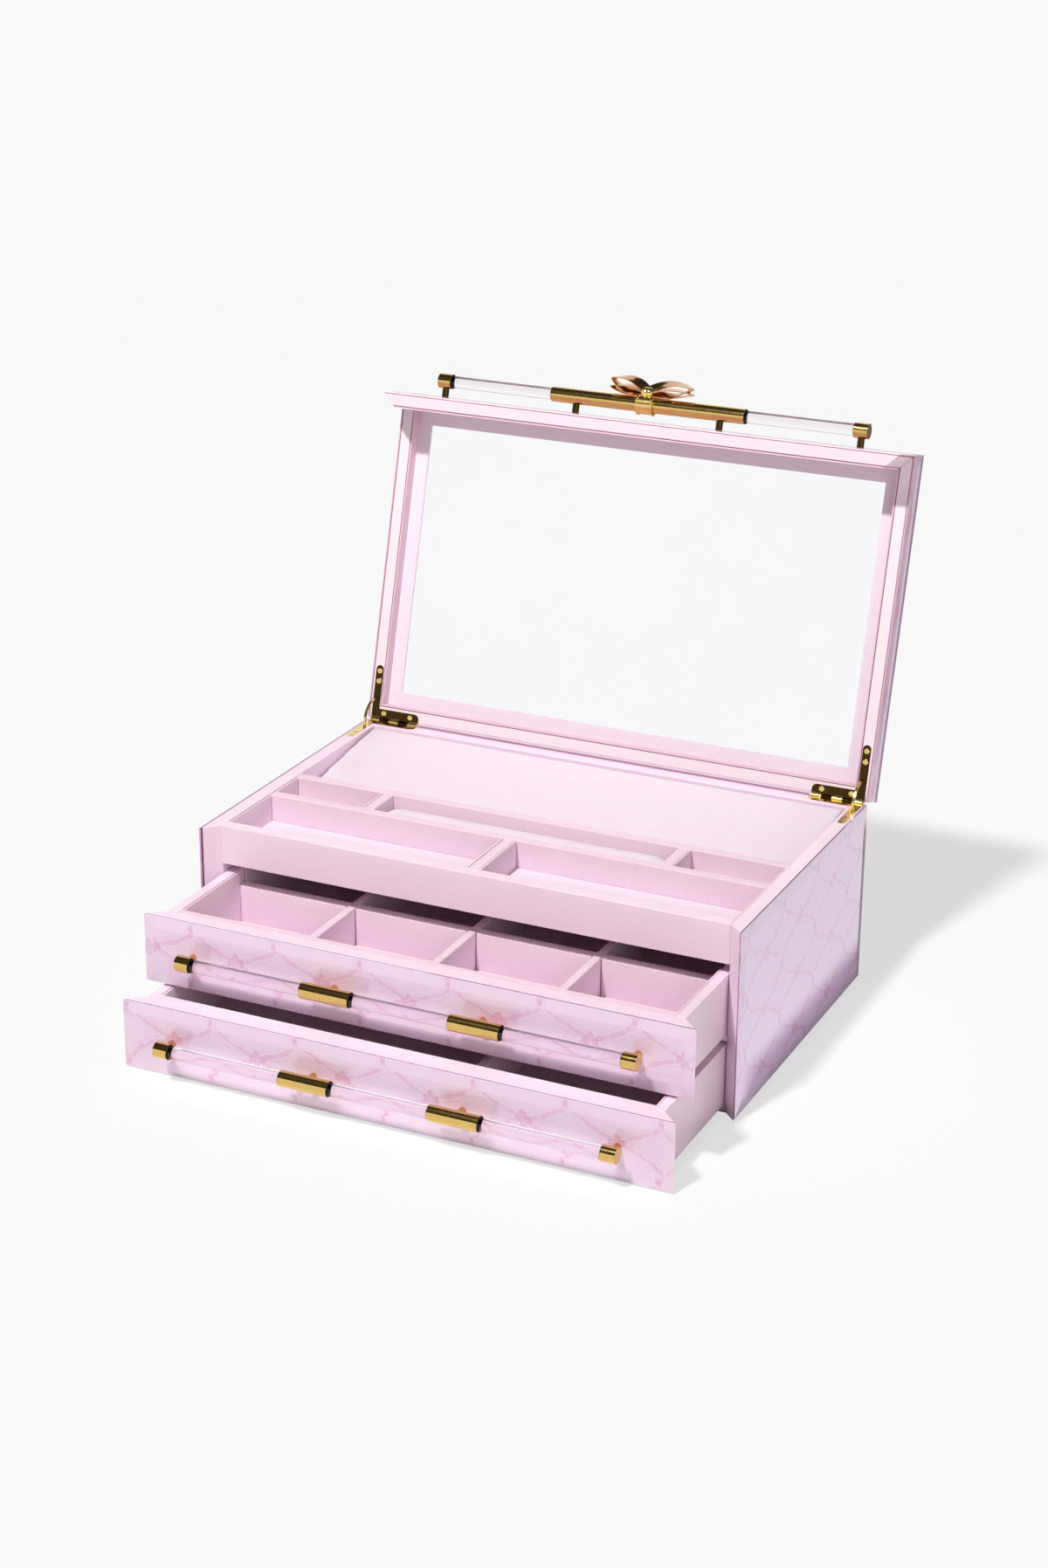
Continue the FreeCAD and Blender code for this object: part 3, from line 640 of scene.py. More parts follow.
# Painted shade: the lid lining takes a darker, more plum copy of the suede, deepening the shade in the lid's
# recess.
SHADED_LINING = Suede("lid_shaded_lining", (0.74, 0.56, 0.65), (0.69, 0.49, 0.585), joint_shaded=True)
LIT_PALE_PADDING = Suede("lit_pale_padding", (0.80, 0.735, 0.805), (0.76, 0.675, 0.745), sheen=0.2)
BRASS = Metal("polished_brass", (0.79, 0.55, 0.19), (0.69, 0.46, 0.14), 0.12, hatched=True)
FITTINGS = Metal("brass_fittings", (0.90, 0.70, 0.27), (0.80, 0.58, 0.19), 0.2, marks=(6.0, 6.0, 1.0))
# Painted reflection: the lid's hinge leaves and handle posts are brass made near-black, standing in for the
# dark reflections they show.
BRASS_DARK_REFLECTION = Metal(
    "brass_painted_dark_reflection", (0.062, 0.036, 0.010), (0.044, 0.024, 0.007), 0.09, marks=(1.0, 1.0, 5.0)
)
COPPER = Metal("coppery_posts", (0.80, 0.46, 0.24), (0.70, 0.37, 0.18))
ROSE_GOLD = Metal("rose_gold", (0.74, 0.45, 0.25), (0.60, 0.34, 0.17), 0.16, marks=(9.0, 9.0, 2.0))
ACRYLIC = Acrylic("clear_acrylic", (0.985, 0.965, 0.985), (0.96, 0.925, 0.955))
MIRROR = Silvering("silvered_mirror", (0.985, 0.985, 0.995), (0.955, 0.955, 0.975))
FELT = Matte("base_felt", (0.42, 0.25, 0.31), (0.33, 0.18, 0.24), 1600.0, 0.5 * MM)
# Painted shade: a dull mauve bead fills the hinge gap behind the rim, standing in for the shade in that gap.
HINGE_GAP_SHADE = Matte("hinge_gap_shade", (0.42, 0.24, 0.34), (0.34, 0.18, 0.27), 1800.0, 0.2 * MM)
# Painted shade: near-black rings set in the sleeves' open ends, where the hollow between sleeve and rod is in
# shade.
SLEEVE_GAP_SHADE = Matte("sleeve_gap_shade", (0.012, 0.011, 0.010), (0.03, 0.027, 0.022), 2400.0, 0.1 * MM)


def dress(finish: Finish, *nodes: str) -> None:
    """Puts a finish on CAD nodes.

    Args:
        finish: the finish.
        nodes: the nodes' names.
    """
    for node in nodes:
        piece = frame["nodes"][node]
        if not piece.material_slots:
            piece.data.materials.append(finish.made())
        for slot in piece.material_slots:
            slot.material = finish.made()
        log.info("%s takes %s", node, finish.name)


def glaze(node: str, facing: Facing, face: float, carrier: Carrier, shift: Pair) -> None:
    """Dresses one pane in printed glass, with a softer shine on the lid.

    Args:
        node: the pane's CAD node.
        facing: which side of the box it covers.
        face: where its outer face lies on the shut box, in millimetres.
        carrier: what it moves with.
        shift: how far the print is moved across and up, in millimetres.
    """
    ground, shade = (0.87, 0.70, 0.85), (0.83, 0.63, 0.79)
    pane = PrintedGlass("print_" + node, ground, shade, facing, face, carrier, *shift)
    if carrier is Carrier.LID:
        # Painted highlight: the lid front pane's glass edge takes a pale colour, as if lit.
        edge = (0.86, 0.77, 0.87) if facing is Facing.FRONT else (0.55, 0.38, 0.56)
        glue_line_shade = (0.50, 0.33, 0.50) if facing is Facing.TOP else (0.45, 0.13, 0.17)
        pane = replace(pane, gloss=0.13, coat=0.0, edge=edge, glue_line_shade=glue_line_shade)
    elif facing is Facing.SIDE:
        # Painted reflection: the side panes take a bluer ground, standing in for the bright bluish reflection
        # on the sides.
        pane = replace(pane, colour=(0.88, 0.69, 0.96), shade=(0.84, 0.63, 0.90))
    if facing is Facing.BACK:
        pane = replace(pane, edge=(0.84, 0.70, 0.79), glue_line_shade=(0.80, 0.62, 0.72))
    dress(pane, node)


def settle(piece: Piece, body: str, stands_for: tuple[str, ...] = ()) -> None:
    """Hands a finished piece to its body.

    Args:
        piece: the piece, at the origin.
        body: the body it moves with.
        stands_for: CAD nodes that it replaces.
    """
    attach(piece, body)
    if stands_for:
        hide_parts(*stands_for)
    log.info("%s rides on %s with %d faces", piece.name, body, len(piece.data.polygons))


def added(name: str, data: bpy.types.ID) -> Piece:
    """Adds an object to the scene.

    Args:
        name: the object's name.
        data: its mesh, lamp or camera.

    Returns:
        The object, at the origin.
    """
    made = bpy.data.objects.new(name, data)
    bpy.context.scene.collection.objects.link(made)
    return made


def from_bmesh(name: str, mesh: BMesh) -> Piece:
    """Makes an object whose faces look outward.

    Args:
        name: the object's name.
        mesh: its mesh, which is freed.

    Returns:
        The new object.
    """
    bmesh.ops.recalc_face_normals(mesh, faces=mesh.faces)
    data = bpy.data.meshes.new(name)
    mesh.to_mesh(data)
    mesh.free()
    return added(name, data)


def mesh_piece(name: str, mesh: BMesh, finish: Finish, sharp: float = SHARP) -> Piece:
    """Makes a smooth-shaded piece.

    Args:
        name: the piece's name.
        mesh: its mesh, which is freed.
        finish: its finish.
        sharp: angle in degrees over which an edge stays sharp.

    Returns:
        The new piece.
    """
    piece = from_bmesh(name, mesh)
    piece.data.shade_smooth()
    piece.data.set_sharp_from_angle(angle=math.radians(sharp))
    piece.data.materials.append(finish.made())
    return piece


def turned(mesh: BMesh, profile: list[Pair], place: Place, closed: bool = False) -> None:
    """Turns a profile about a line along the box.

    Args:
        mesh: where the turned form goes.
        profile: places along the line and radii, in millimetres.
        place: gives the point for a place along the line and two across it.
        closed: whether the profile closes on itself, as for a ring.
    """
    around = 48
    turns = [2 * math.pi * k / around for k in range(around)]
    rings = []
    for x, radius in profile:
        points = (place(x, radius * math.cos(t), radius * math.sin(t)) for t in turns)
        rings.append([mesh.verts.new(point) for point in points])
    skin(mesh, rings, closed)


def skin(mesh: BMesh, rings: list[list[bmesh.types.BMVert]], closed: bool = False) -> None:
    """Joins each ring of points to the next with faces.

    Args:
        mesh: the mesh that holds the points.
        rings: closed rings with as many points each.
        closed: whether the last ring joins the first; if not, both are capped.
    """
    for a, b in zip(rings, rings[1:] + rings[:1] if closed else rings[1:]):
        for k in range(len(a)):
            n = (k + 1) % len(a)
            mesh.faces.new((a[k], a[n], b[n], b[k]))
    if not closed:
        for ring in (rings[0], rings[-1]):
            mesh.faces.new(ring)


def baked(piece: Piece) -> bpy.types.Mesh:
    """Returns the piece's evaluated mesh as plain data."""
    graph = bpy.context.evaluated_depsgraph_get()
    return bpy.data.meshes.new_from_object(
        piece.evaluated_get(graph), preserve_all_data_layers=True, depsgraph=graph
    )


def welded(node: str) -> BMesh:
    """Copies a CAD node's mesh with its points joined.

    Args:
        node: the node's name.

    Returns:
        The copy.
    """
    mesh = bmesh.new()
    mesh.from_mesh(frame["nodes"][node].data)
    bmesh.ops.remove_doubles(mesh, verts=mesh.verts, dist=WELD)
    return mesh


def node_parts(node: str) -> list[tuple[Vector, Vector]]:
    """Finds the boxes of a CAD node's separate solids.

    Args:
        node: the node's name.

    Returns:
        Lowest and highest corner of each solid, in metres.
    """
    mesh = welded(node)
    left = set(mesh.verts)
    boxes = []
    while left:
        heap, seen = [left.pop()], []
        while heap:
            vert = heap.pop()
            seen.append(vert.co.copy())
            fresh = left & {edge.other_vert(vert) for edge in vert.link_edges}
            left -= fresh
            heap.extend(fresh)
        low, high = (Vector(end(p[i] for p in seen) for i in range(3)) for end in (min, max))
        boxes.append((low, high))
    mesh.free()
    return sorted(boxes, key=lambda b: tuple(b[0]))


class Scatter(Tree):
    """Geometry Nodes tree that sets one small fitting on every point and bakes the result."""

    def __init__(self, name: str, sizes: dict[str, float]) -> None:
        """Starts a tree with named inputs.

        Args:
            name: the tree's name.
            sizes: named lengths in metres.
        """
        super().__init__(bpy.data.node_groups.new(name, "GeometryNodeTree"))
        self.sizes = sizes
        kinds = {"Geometry": "Geometry", **dict.fromkeys(sizes, "Float")}
        kinds |= {"Turn": "Vector", "Finish": "Material"}
        new = self.tree.interface.new_socket
        self.ids = {
            key: new(name=key, in_out="INPUT", socket_type="NodeSocket" + kind).identifier
            for key, kind in kinds.items()
        }
        new(name="Geometry", in_out="OUTPUT", socket_type="NodeSocketGeometry")
        self.given = self.node("NodeGroupInput").outputs

    def screw(self) -> Socket:
        """Builds a countersunk head with a low crown and a shallow crossed slot.

        Returns:
            The head, its face at the origin, looking up.
        """
        around, crown_scale = 28, (0.98, 0.98, 0.1)
        wide, neck, deep = (self.given["Head " + key] for key in ("Radius", "Neck", "Depth"))
        across, along, depth = (self.given["Slot " + key] for key in ("Width", "Length", "Depth"))
        sizes = {"Vertices": around, "Radius Top": wide, "Radius Bottom": neck, "Depth": deep}
        down = self.first("ShaderNodeCombineXYZ", {2: self.maths("MULTIPLY", deep, -1.0)})
        cone = self.first("GeometryNodeMeshCone", sizes)
        head = self.first("GeometryNodeTransform", {"Geometry": cone, "Translation": down})
        sizes = {"Segments": around, "Rings": around // 2, "Radius": wide}
        ball = self.first("GeometryNodeMeshUVSphere", sizes)
        crown = self.first("GeometryNodeTransform", {"Geometry": ball, "Scale": crown_scale})
        whole = self.node("GeometryNodeMeshBoolean", operation="UNION", solver="EXACT")
        for part in (head, crown):
            self.feed(whole.inputs[1], part)
        inputs = {0: whole.outputs[0]}
        cut = self.node("GeometryNodeMeshBoolean", inputs, operation="DIFFERENCE", solver="EXACT")
        for x, y in ((along, across), (across, along)):
            shape = self.first("ShaderNodeCombineXYZ", {0: x, 1: y, 2: depth})
            self.feed(cut.inputs[1], self.first("GeometryNodeMeshCube", {"Size": shape}))
        return cut.outputs[0]

    def ring(self) -> Socket:
        """Builds a flat ring.

        Returns:
            The ring, lying in the XY plane.
        """
        around = 40
        radius, wide, high = (self.given["Ring " + key] for key in ("Radius", "Width", "Height"))
        circle = self.first("GeometryNodeCurvePrimitiveCircle", {"Resolution": around, "Radius": radius})
        bar = self.first("GeometryNodeCurvePrimitiveQuadrilateral", {0: wide, 1: high})
        return self.first("GeometryNodeCurveToMesh", {0: circle, 1: bar})

    def close(self, fitting: Socket, seed: int) -> None:
        """Ends the tree: fittings on the points, each spun about itself, made real and given their finish.

        Args:
            fitting: what goes on each point.
            seed: seed of the spins.
        """
        spins = {0: (0.0, 0.0, -math.pi), 1: (0.0, 0.0, math.pi), "Seed": seed}
        spin = self.first("FunctionNodeRandomValue", spins, data_type="FLOAT_VECTOR")
        where = {"Points": self.given["Geometry"], "Instance": fitting, "Rotation": self.given["Turn"]}
        made = self.first("GeometryNodeInstanceOnPoints", where)
        made = self.first("GeometryNodeRotateInstances", {0: made, "Rotation": spin})
        made = self.first("GeometryNodeRealizeInstances", {0: made})
        made = self.first("GeometryNodeSetMaterial", {0: made, "Material": self.given["Finish"]})
        self.node("NodeGroupOutput", {0: made})

    def bake(self, name: str, places: list[Vector], turn: Triple, finish: Finish) -> Piece:
        """Sets the fittings of one body.

        Args:
            name: the piece's name.
            places: where they sit, in metres.
            turn: how they are turned, as Euler angles.
            finish: their finish.

        Returns:
            One plain mesh object with all of them.
        """
        data = bpy.data.meshes.new(name + "_points")
        data.from_pydata([tuple(p) for p in places], [], [])
        piece = added(name, data)
        made = piece.modifiers.new(self.tree.name, "NODES")
        made.node_group = self.tree
        for key, value in {**self.sizes, "Turn": turn, "Finish": finish.made()}.items():
            made[self.ids[key]] = value
        mesh = baked(piece)
        piece.modifiers.remove(made)
        piece.data = mesh
        mesh.set_sharp_from_angle(angle=math.radians(SHARP))
        return piece


@dataclass
class Padding:
    """A foam pad in suede: filled by a cloth simulation and kept to the space of its CAD solid."""

    name: str
    node: str
    fill: float
    grid: Triple
    pressure: float
    cap: float
    foot: float = 1.6 * MM
    inset: float = 0.7 * MM
    least_edge: float = 0.35 * MM
    stretch_stiffness: float = 30.0
    bend_stiffness: float = 6.0
    frames: int = 20

    def start(self) -> Piece:
        """Copies the CAD solid as a closed, evenly divided mesh.

        Returns:
            The pad before it is filled.
        """
        mesh = welded(self.node)
        low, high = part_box(self.node)
        middle = (low + high) / 2
        for vert in mesh.verts:
            for axis in (0, 1):
                span = (high[axis] - low[axis]) / 2
                vert.co[axis] = middle[axis] + (vert.co[axis] - middle[axis]) * (span - self.inset) / span
        bmesh.ops.dissolve_limit(mesh, angle_limit=math.radians(1.0), verts=mesh.verts, edges=mesh.edges)
        for axis, pitch in enumerate(self.grid):
            size = high[axis] - low[axis]
            count = max(1, round(size / pitch))
            normal = Vector(1.0 if k == axis else 0.0 for k in range(3))
            for i in range(1, count):
                parts = mesh.verts[:] + mesh.edges[:] + mesh.faces[:]
                cut = Vector(low)
                cut[axis] += size * i / count
                bmesh.ops.bisect_plane(mesh, geom=parts, dist=WELD, plane_co=cut, plane_no=normal)
        bmesh.ops.remove_doubles(mesh, verts=mesh.verts, dist=self.least_edge)
        return from_bmesh(self.name, mesh)

    def swell(self, pad: Piece) -> None:
        """Fills the pad with air pressure, its foot held to the floor.

        Args:
            pad: the pad, changed in place.
        """
        low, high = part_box(self.node)
        rest = [v.co.copy() for v in pad.data.vertices]
        held = pad.vertex_groups.new(name="foot")
        held.add([i for i, p in enumerate(rest) if p.z < low.z + self.foot], 1.0, "REPLACE")
        filling = pad.modifiers.new("filling", "CLOTH")
        cloth = filling.settings
        cloth.vertex_group_mass = "foot"
        cloth.use_pressure = True
        cloth.uniform_pressure_force = self.pressure
        cloth.effector_weights.gravity = 0.0
        cloth.tension_stiffness = cloth.compression_stiffness = self.stretch_stiffness
        cloth.bending_stiffness = self.bend_stiffness
        filling.point_cache.frame_start, filling.point_cache.frame_end = 1, self.frames
        for step in range(1, self.frames + 1):
            bpy.context.scene.frame_set(step)
        filled = [v.co.copy() for v in baked(pad).vertices]
        pad.modifiers.remove(filling)
        bpy.context.scene.frame_set(1)
        for vert, old, new in zip(pad.data.vertices, rest, filled):
            move = new - old
            if move.length > self.cap:
                move *= self.cap / move.length
            place = old + move
            vert.co = Vector(min(max(place[i], low[i]), high[i]) for i in range(3))

    def build(self, body: str, finish: Finish) -> None:
        """Args:
            body: the body it rides on.
            finish: its suede.
        """
        pad = self.start()
        self.swell(pad)
        even = pad.modifiers.new("even", "SMOOTH")
        even.factor, even.iterations = 0.5, 3
        soft = pad.modifiers.new("soft", "SUBSURF")
        soft.levels = soft.render_levels = 1
        done = baked(pad)
        pad.modifiers.clear()
        pad.vertex_groups.clear()
        pad.data = done
        done.shade_smooth()
        done.materials.clear()
        done.materials.append(finish.made())
        settle(pad, body, (self.node,))


@dataclass
class Facings:
    """Thin suede-covered boards on the walls of each bay, with an open line at every corner."""

    name: str
    lining: str
    walls: Walls
    top: float
    outer_top: float
    thick: float = 1.2 * MM
    open_line: float = 0.45 * MM
    ease: float = 0.35 * MM
    ease_steps: int = 3

    def build(self, body: str, finish: Finish) -> None:
        """Builds the facings of all bays as one piece.

        Args:
            body: the body they ride on.
            finish: their suede.
        """
        mesh = bmesh.new()
        bays = node_parts(self.lining)
        left, right = min(low.x for low, _ in bays), max(high.x for _, high in bays)
        for low, high in bays:
            y0, y1 = low.y + self.open_line, high.y - self.open_line
            if self.walls is Walls.OUTER_AND_REAR:
                y1 -= self.thick
                x0, x1 = low.x + self.open_line, high.x - self.open_line
                self.board(mesh, Vector((x0, high.y - self.thick, high.z)), Vector((x1, high.y, self.top)))
            for x0, off in ((low.x, low.x - left), (high.x - self.thick, right - high.x)):
                outer = off < self.thick
                if outer or self.walls is Walls.SIDES:
                    top = self.outer_top if outer else self.top
                    self.board(mesh, Vector((x0, y0, high.z)), Vector((x0 + self.thick, y1, top)))
        settle(mesh_piece(self.name, mesh, finish, 60.0), body)

    def board(self, mesh: BMesh, low: Vector, high: Vector) -> None:
        """Adds one board with eased edges.

        Args:
            mesh: where it goes.
            low: its lowest corner.
            high: its highest corner.
        """
        made = bmesh.ops.create_cube(mesh, size=1.0)["verts"]
        middle, span = (low + high) / 2, high - low
        for vert in made:
            vert.co = Vector(middle[i] + vert.co[i] * span[i] for i in range(3))
        edges = list({edge for vert in made for edge in vert.link_edges})
        rounding = {"segments": self.ease_steps, "profile": 0.5, "affect": "EDGES", "clamp_overlap": True}
        bmesh.ops.bevel(mesh, geom=edges, offset=self.ease, **rounding)


@dataclass
class Case:
    """The fixed case: boards, glass, tray walls and linings."""

    boards: tuple[str, ...] = (
        "base_board", "case_side_right", "case_side_left", "case_back", "front_rail", "dust_panel",
    )
    suede_parts: tuple[str, ...] = ("tray_floor", "tray_long_dividers", "tray_short_dividers")
    tray_top: float = 127.9 * MM
    roll_grid: Triple = (3.0 * MM, 2.7 * MM, 2.8 * MM)
    pad_grid: Triple = (4.0 * MM, 4.0 * MM, 2.8 * MM)

    def dress(self) -> None:
        """Dresses the boards, suede and glass."""
        dress(LACQUER, *self.boards)
        dress(SUEDE, *self.suede_parts)
        dress(LIT_PALE_SUEDE, "tray_lining")
        dress(FELT, "base_felt")
        glaze("case_side_glass", Facing.SIDE, HALF_W, Carrier.BOX, (12.0, 18.0))
        glaze("case_back_glass", Facing.BACK, HALF_D, Carrier.BOX, (0.0, 18.0))

    def fit_out(self) -> None:
        """Adds the tray's facings, ring cushion and sloped pad."""
        facings = Facings("tray_facings", "tray_lining", Walls.SIDES, self.tray_top, self.tray_top)
        facings.build("case", SUEDE)
        pads = (
            Padding("ring_roll", "ring_cushion", 0.8, self.roll_grid, pressure=2.0, cap=1.6 * MM),
            Padding("display_pad", "sloped_pad", 0.9, self.pad_grid, pressure=1.6, cap=1.8 * MM),
        )
        for pad in pads:
            pad.build("case", LIT_PALE_PADDING)


@dataclass
class BarHandle:
    """Clear rod with brass sleeves, and dark rings of painted shade in their open ends."""

    prefix: str
    body: str
    ends: tuple[float, ...]
    ring_r: float = 4.62 * MM
    ring_w: float = 0.34 * MM
    ring_h: float = 0.62 * MM
    seed: int = 3

    def dress(self) -> None:
        """Dresses the rod, sleeves and posts."""
        dress(ACRYLIC, self.prefix + "_rod")
        dress(BRASS, self.prefix + "_sleeves")
        # On the lid the posts take the brass painted dark, a painted reflection.
        dress(BRASS_DARK_REFLECTION if self.body == "lid" else COPPER, self.prefix + "_posts")

    def rings(self) -> None:
        """Sets a dark ring of painted shade in every open sleeve end."""
        low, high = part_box(self.prefix + "_rod")
        axis = (low + high) / 2
        sizes = {"Ring Radius": self.ring_r, "Ring Width": self.ring_h, "Ring Height": self.ring_w}
        tree = Scatter(self.prefix + "_ring_tree", sizes)
        tree.close(tree.ring(), self.seed)
        places = [Vector((side * x * MM, axis.y, axis.z)) for x in self.ends for side in (-1, 1)]
        piece = tree.bake(self.prefix + "_rings", places, (0.0, math.pi / 2, 0.0), SLEEVE_GAP_SHADE)
        settle(piece, self.body)


@dataclass
class Drawer:
    """One sliding drawer with its glass front and bar handle."""

    prefix: str
    body: str
    extra: tuple[str, ...]
    shift: Pair
    handle_ends: tuple[float, ...] = (34.15, 68.45, 148.25)
    divider_drop: float = 0.6 * MM
    rim_drop: float = 0.4 * MM

    def dress(self) -> None:
        """Dresses the front, walls, floor and glass."""
        dress(LACQUER, *(f"{self.prefix}_{part}" for part in ("front", "sides")))
        lined = ("ends", "bottom", "dividers", "lining") + self.extra
        dress(SUEDE, *(f"{self.prefix}_{part}" for part in lined))
        glass = self.prefix + "_front_glass"
        glaze(glass, Facing.FRONT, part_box(glass)[0].y / MM, Carrier.BOX, self.shift)

    def fit_out(self) -> None:
        """Adds the bay facings and the handle's rings."""
        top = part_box(self.prefix + "_dividers")[1].z - self.divider_drop
        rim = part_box(self.prefix + "_sides")[1].z - self.rim_drop
        facings = Facings(self.prefix + "_facings", self.prefix + "_lining", Walls.OUTER_AND_REAR, top, rim)
        facings.build(self.body, SUEDE)
        handle = BarHandle(self.prefix + "_handle", self.body, self.handle_ends)
        handle.dress()
        handle.rings()


@dataclass(frozen=True)
class Loop:
    """One teardrop loop of ribbon, in millimetres and degrees.

    Attributes:
        side: 1 for right, -1 for left.
        length: reach of the loop from the knot.
        height: its height at the fullest.
        tilt: its lean off the rod.
        rise: height of its root over the rod's axis.
        twist: turn of the ribbon about its own run at the knot.
        splay: how far its tip stands off the middle, across the rod.
    """

    side: int
    length: float
    height: float
    tilt: float
    rise: float
    twist: float
    splay: float
    neck_share: float = 0.34
    swell_share: float = 1.1
    tip_share: float = 0.9

    def full(self, share: float, power: float) -> float:
        """Returns how full the loop or its ribbon is, from the knot at 0 to the knot again at 1."""
        return self.neck_share + (1 - self.neck_share) * math.sin(math.pi * share) ** power

    def path(self, t: float) -> Vector:
        """Finds the ribbon's middle line.

        Args:
            t: place along the ribbon, from 0 to 1.

        Returns:
            Reach and height.
        """
        swing = 2 * math.pi * t
        reach = self.length * (1 - math.cos(swing)) / 2
        full = self.full(min(1.0, reach / self.length * self.tip_share), 0.8)
        return Vector((reach, self.height / 2 * math.sin(swing) * full * self.swell_share))


@dataclass
class RibbonBow:
    """Cast ribbon bow on the lid handle: a band, a knot and two loops to each side."""

    rod_y: float = -128.2
    rod_z: float = 121.95
    middle: float = -1.3
    band_r: float = 7.1
    bore_r: float = 5.25
    band_half: float = 6.2
    root: float = 6.05
    knot_r: float = 4.1
    knot_half: float = 4.6
    knot_least: float = 0.25
    ribbon_w: float = 9.6
    ribbon_t: float = 1.15
    cup: float = 0.3
    right_l: float = 31.5
    left_l: float = 26.2
    upper_h: float = 7.4
    lower_h: float = 4.6
    root_gap: float = 0.1
    step_up: float = 0.9

    def at(self, x: float, out: float, deep: float) -> Vector:
        """Returns a place on the open lid from millimetres along, out from and across the rod."""
        shut = Vector((x + self.middle, self.rod_y - out, self.rod_z + deep)) * MM
        return lid_turn() @ shut

    def loop(self, mesh: BMesh, loop: Loop) -> None:
        """Sweeps one ribbon round its loop.

        Args:
            mesh: where the ribbon goes.
            loop: the loop.
        """
        runs, strips, nudge = 64, 8, 0.004
        turn = math.radians(loop.tilt)
        rings = []
        for t in (i / runs for i in range(runs + 1)):
            at = loop.path(t)
            run = (loop.path(min(1.0, t + nudge)) - loop.path(max(0.0, t - nudge))).normalized()
            normal = Vector((-run.y, run.x))
            far = at.x / loop.length
            lean = math.radians(loop.twist) * max(0.0, 1 - far) * (1 if t < 0.5 else -1)
            wide = self.ribbon_w / 2 * loop.full(t, 0.5)
            section = []
            for face, j in ((face, j) for face in (1, -1) for j in range(strips + 1)):
                s = (2 * j / strips - 1) * face
                thick = self.ribbon_t / 2 * face * (1 - 0.45 * s**6)
                cup = self.cup * (s * s - 0.4) * math.sin(math.pi * t)
                off = s * wide * math.sin(lean) + (thick + cup) * math.cos(lean)
                deep = s * wide * math.cos(lean) - thick * math.sin(lean) + loop.splay * far
                flat = at + normal * off
                x = flat.x * math.cos(turn) - flat.y * math.sin(turn)
                out = loop.rise + flat.x * math.sin(turn) + flat.y * math.cos(turn)
                section.append(mesh.verts.new(self.at(loop.side * x, out, deep)))
            rings.append(section)
        skin(mesh, rings)

    def build(self) -> None:
        """Builds the bow in place of its plain casting."""
        low = self.root + self.lower_h / 2 + self.root_gap
        high = low + self.step_up
        loops = (
            Loop(1, self.right_l, self.upper_h, tilt=8.0, rise=high, twist=62.0, splay=-0.6),
            Loop(1, self.right_l, self.lower_h, tilt=3.0, rise=low, twist=24.0, splay=0.6),
            Loop(-1, self.left_l, self.upper_h, tilt=13.0, rise=high, twist=54.0, splay=-0.4),
            Loop(-1, self.left_l, self.lower_h, tilt=3.0, rise=low, twist=30.0, splay=0.6),
        )
        ribbons, clasp = bmesh.new(), bmesh.new()
        for loop in loops:
            self.loop(ribbons, loop)
        bow = mesh_piece("ribbon_bow", ribbons, ROSE_GOLD, 50.0)
        turned(clasp, self.band_profile(), self.at, True)
        turned(clasp, self.knot_profile(), self.on_knot)
        settle(mesh_piece("bow_clasp", clasp, FITTINGS, 50.0), "lid")
        settle(bow, "lid", ("handle_bow",))

    def on_knot(self, x: float, out: float, deep: float) -> Vector:
        """Returns a place round the knot's own middle line."""
        return self.at(x, out + self.root + self.knot_r / 2, deep)

    def band_profile(self) -> list[Pair]:
        """Draws the band's section: a thin wall with a raised bead at each edge.

        Returns:
            Places along the rod and radii.
        """
        half, r = self.band_half, self.band_r
        edge = [(half - 1.7, r - 0.6), (half - 1.3, r), (half - 0.3, r), (half, r - 0.4), (half, self.bore_r)]
        return [(-x, radius) for x, radius in edge[::-1]] + edge

    def knot_profile(self) -> list[Pair]:
        """Draws the knot's outline: a rounded roll with folds round it.

        Returns:
            Places along the rod and radii.
        """
        steps, folds, fold_share = 40, 3.0, 0.05
        outline = []
        for s in (2 * i / steps - 1 for i in range(steps + 1)):
            round_off = (1 - abs(s) ** 4.5) ** 0.4
            fold = 1 - fold_share * (0.5 + 0.5 * math.cos(s * math.pi * folds))
            outline.append((s * self.knot_half, max(self.knot_least, self.knot_r * round_off * fold)))
        return outline


